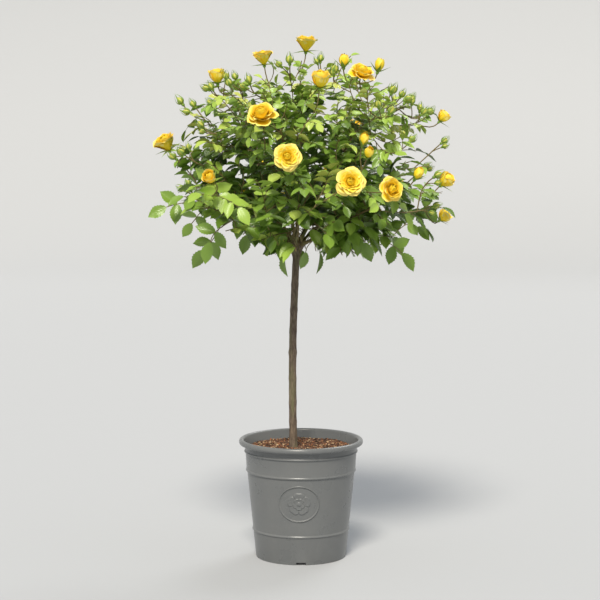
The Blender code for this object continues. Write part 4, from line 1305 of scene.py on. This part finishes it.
row_shapes = {
    stage: [
        [petal_shape(lean, width, belly, roll, chance.uniform(0, math.tau)) for number in range(PETAL_SHAPES)]
        for count, lean, length, width, belly, roll, shade in rows
    ]
    for stage, rows in BLOOM_ROWS.items()
}
sepal_shapes = {stage: sepal_shape(belly, roll) for stage, (lean, length, belly, roll) in SEPALS.items()}
hip_shape = shape_of(spun(HIP_SECTION, BUD_SIDES))
bud_shape = shape_of(spun(BUD_SECTION, BUD_SIDES))

petals = []
greens = []


def add_green(stage, foot, facing, size):
    """The hip, the sepals, and for a closed bud the bud itself."""
    upright = facing.to_track_quat("Z", "Y")
    matrix = Matrix.LocRotScale(foot, upright, Vector((1, 1, 1)) * size)
    greens.append((hip_shape, matrix, 0))
    if stage == "buds":
        greens.append((bud_shape, matrix, 1))
    lean, length, belly, roll = SEPALS[stage]
    first = chance.uniform(0, math.tau)
    for number in range(5):
        out = upright @ direction(math.degrees(first + math.tau * number / 5), 0)
        open_by = math.radians(lean + chance.uniform(-12, 12) * (stage != "buds"))
        way = facing * math.cos(open_by) + out * math.sin(open_by)
        inner = facing * math.sin(open_by) - out * math.cos(open_by)
        root = foot + (facing * HIP_HEIGHT + out * 0.0026) * size
        greens.append((sepal_shapes[stage], frame_at(root, way, inner, length * size), 2))


def add_bloom(stage, foot, facing, size):
    """One bloom: its rows of petals, each row turned against the last."""
    add_green(stage, foot, facing, size)
    upright = facing.to_track_quat("Z", "Y")
    turn = chance.uniform(0, math.tau)
    for shapes, (count, lean, length, width, belly, roll, shade) in zip(row_shapes[stage], BLOOM_ROWS[stage]):
        turn += GOLDEN_ANGLE
        for place in range(count):
            here = turn + math.tau * (place + chance.uniform(-0.08, 0.08)) / count
            out = upright @ direction(math.degrees(here), 0)
            open_by = math.radians(lean * chance.uniform(0.92, 1.08))
            way = facing * math.cos(open_by) + out * math.sin(open_by)
            inner = facing * math.sin(open_by) - out * math.cos(open_by)
            inner += facing.cross(out) * chance.uniform(-0.12, 0.28)
            root = foot + (facing * (HIP_HEIGHT + 0.0004) + out * 0.0016) * size
            matrix = frame_at(root, way, inner, length * size * chance.uniform(0.94, 1.04))
            petals.append((chance.choice(shapes), matrix, shade))


pedicels = []
for twig in twigs:
    if twig["kind"] in BLOOM_ROWS:
        add_bloom(twig["kind"], twig["path"][-1], twig["way"], twig["size"] * chance.uniform(0.97, 1.03))
    if twig["kind"] != "buds":
        continue
    add_green("buds", twig["path"][-1], twig["way"], chance.uniform(0.85, 1.05))
    side = twig["way"].orthogonal().normalized()
    for number in range(1, 1 + (chance.random() < 0.8) + (chance.random() < 0.3)):
        back = 0.010 + 0.010 * number
        root, along = point_back_from_end(twig["path"], back)
        lean = Quaternion(twig["way"], number * GOLDEN_ANGLE + chance.uniform(0, 1)) @ side
        way = (twig["way"] + lean * chance.uniform(0.55, 0.95)).normalized()
        end = root + way * (back + chance.uniform(-0.004, 0.004))
        path = bend(root, root + (along + lean * 0.5) * back * 0.5, end, 4)
        pedicels.append((path, [0.0011 - 0.00005 * step for step in range(5)], 1))
        add_green("buds", end, way, chance.uniform(0.7, 0.95))

petal_finishes = []
# The heart's finishes are lighter than a golden heart would be: painted light that lifts the shade deep between
# the rows.
for name, colour in (
    ("rose_petal_outer", "FFDA2E"), ("rose_petal_outer_rim", "FFE878"), ("rose_petal_yellow", "FFDC28"),
    ("rose_petal_yellow_rim", "FFE350"), ("rose_petal_heart", "FFE024"), ("rose_petal_heart_rim", "FFE23C"),
):
    made, tree, shader = finish(name, colour, Roughness=0.55)
    place = add_node(tree, "ShaderNodeTexCoord").outputs["Object"]
    veins = add_node(tree, "ShaderNodeTexNoise", {"Vector": place, "Scale": 500.0, "Detail": 2.0})
    bumps = add_node(tree, "ShaderNodeBump", {
        "Height": veins.outputs["Fac"], "Strength": 0.15, "Distance": 0.0005,
    })
    tree.links.new(bumps.outputs["Normal"], shader.inputs["Normal"])
    petal_finishes.append(made)
piece = stand("petals", joined("petals", petals), petal_finishes)
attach(piece, "root")
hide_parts(*sum(foliage_nodes.values(), []))

bud_finishes = []
for name, colour in (("rose_hip_green", "7C9C3C"), ("closed_bud_green", "C4C656"), ("sepal_green", "88A446")):
    made, tree, shader = finish(name, colour, Roughness=0.5)
    place = add_node(tree, "ShaderNodeTexCoord").outputs["Object"]
    veins = add_node(tree, "ShaderNodeTexNoise", {"Vector": place, "Scale": 700.0, "Detail": 2.0})
    bumps = add_node(tree, "ShaderNodeBump", {
        "Height": veins.outputs["Fac"], "Strength": 0.2, "Distance": 0.0004,
    })
    tree.links.new(bumps.outputs["Normal"], shader.inputs["Normal"])
    bud_finishes.append(made)
piece = stand("buds_and_sepals", joined("buds_and_sepals", greens), bud_finishes)
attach(piece, "root")
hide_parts(*sum(foliage_nodes.values(), []))

shade_of_kind = {"stem": 0, "leaf": 2}
runs = [(twig["path"], twig["radii"], shade_of_kind.get(twig["kind"], 1)) for twig in twigs] + pedicels
piece = stand("twigs", tubes("twigs", runs, TWIG_SIDES), wood_finishes)
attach(piece, "root")
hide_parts(*sum(foliage_nodes.values(), []))
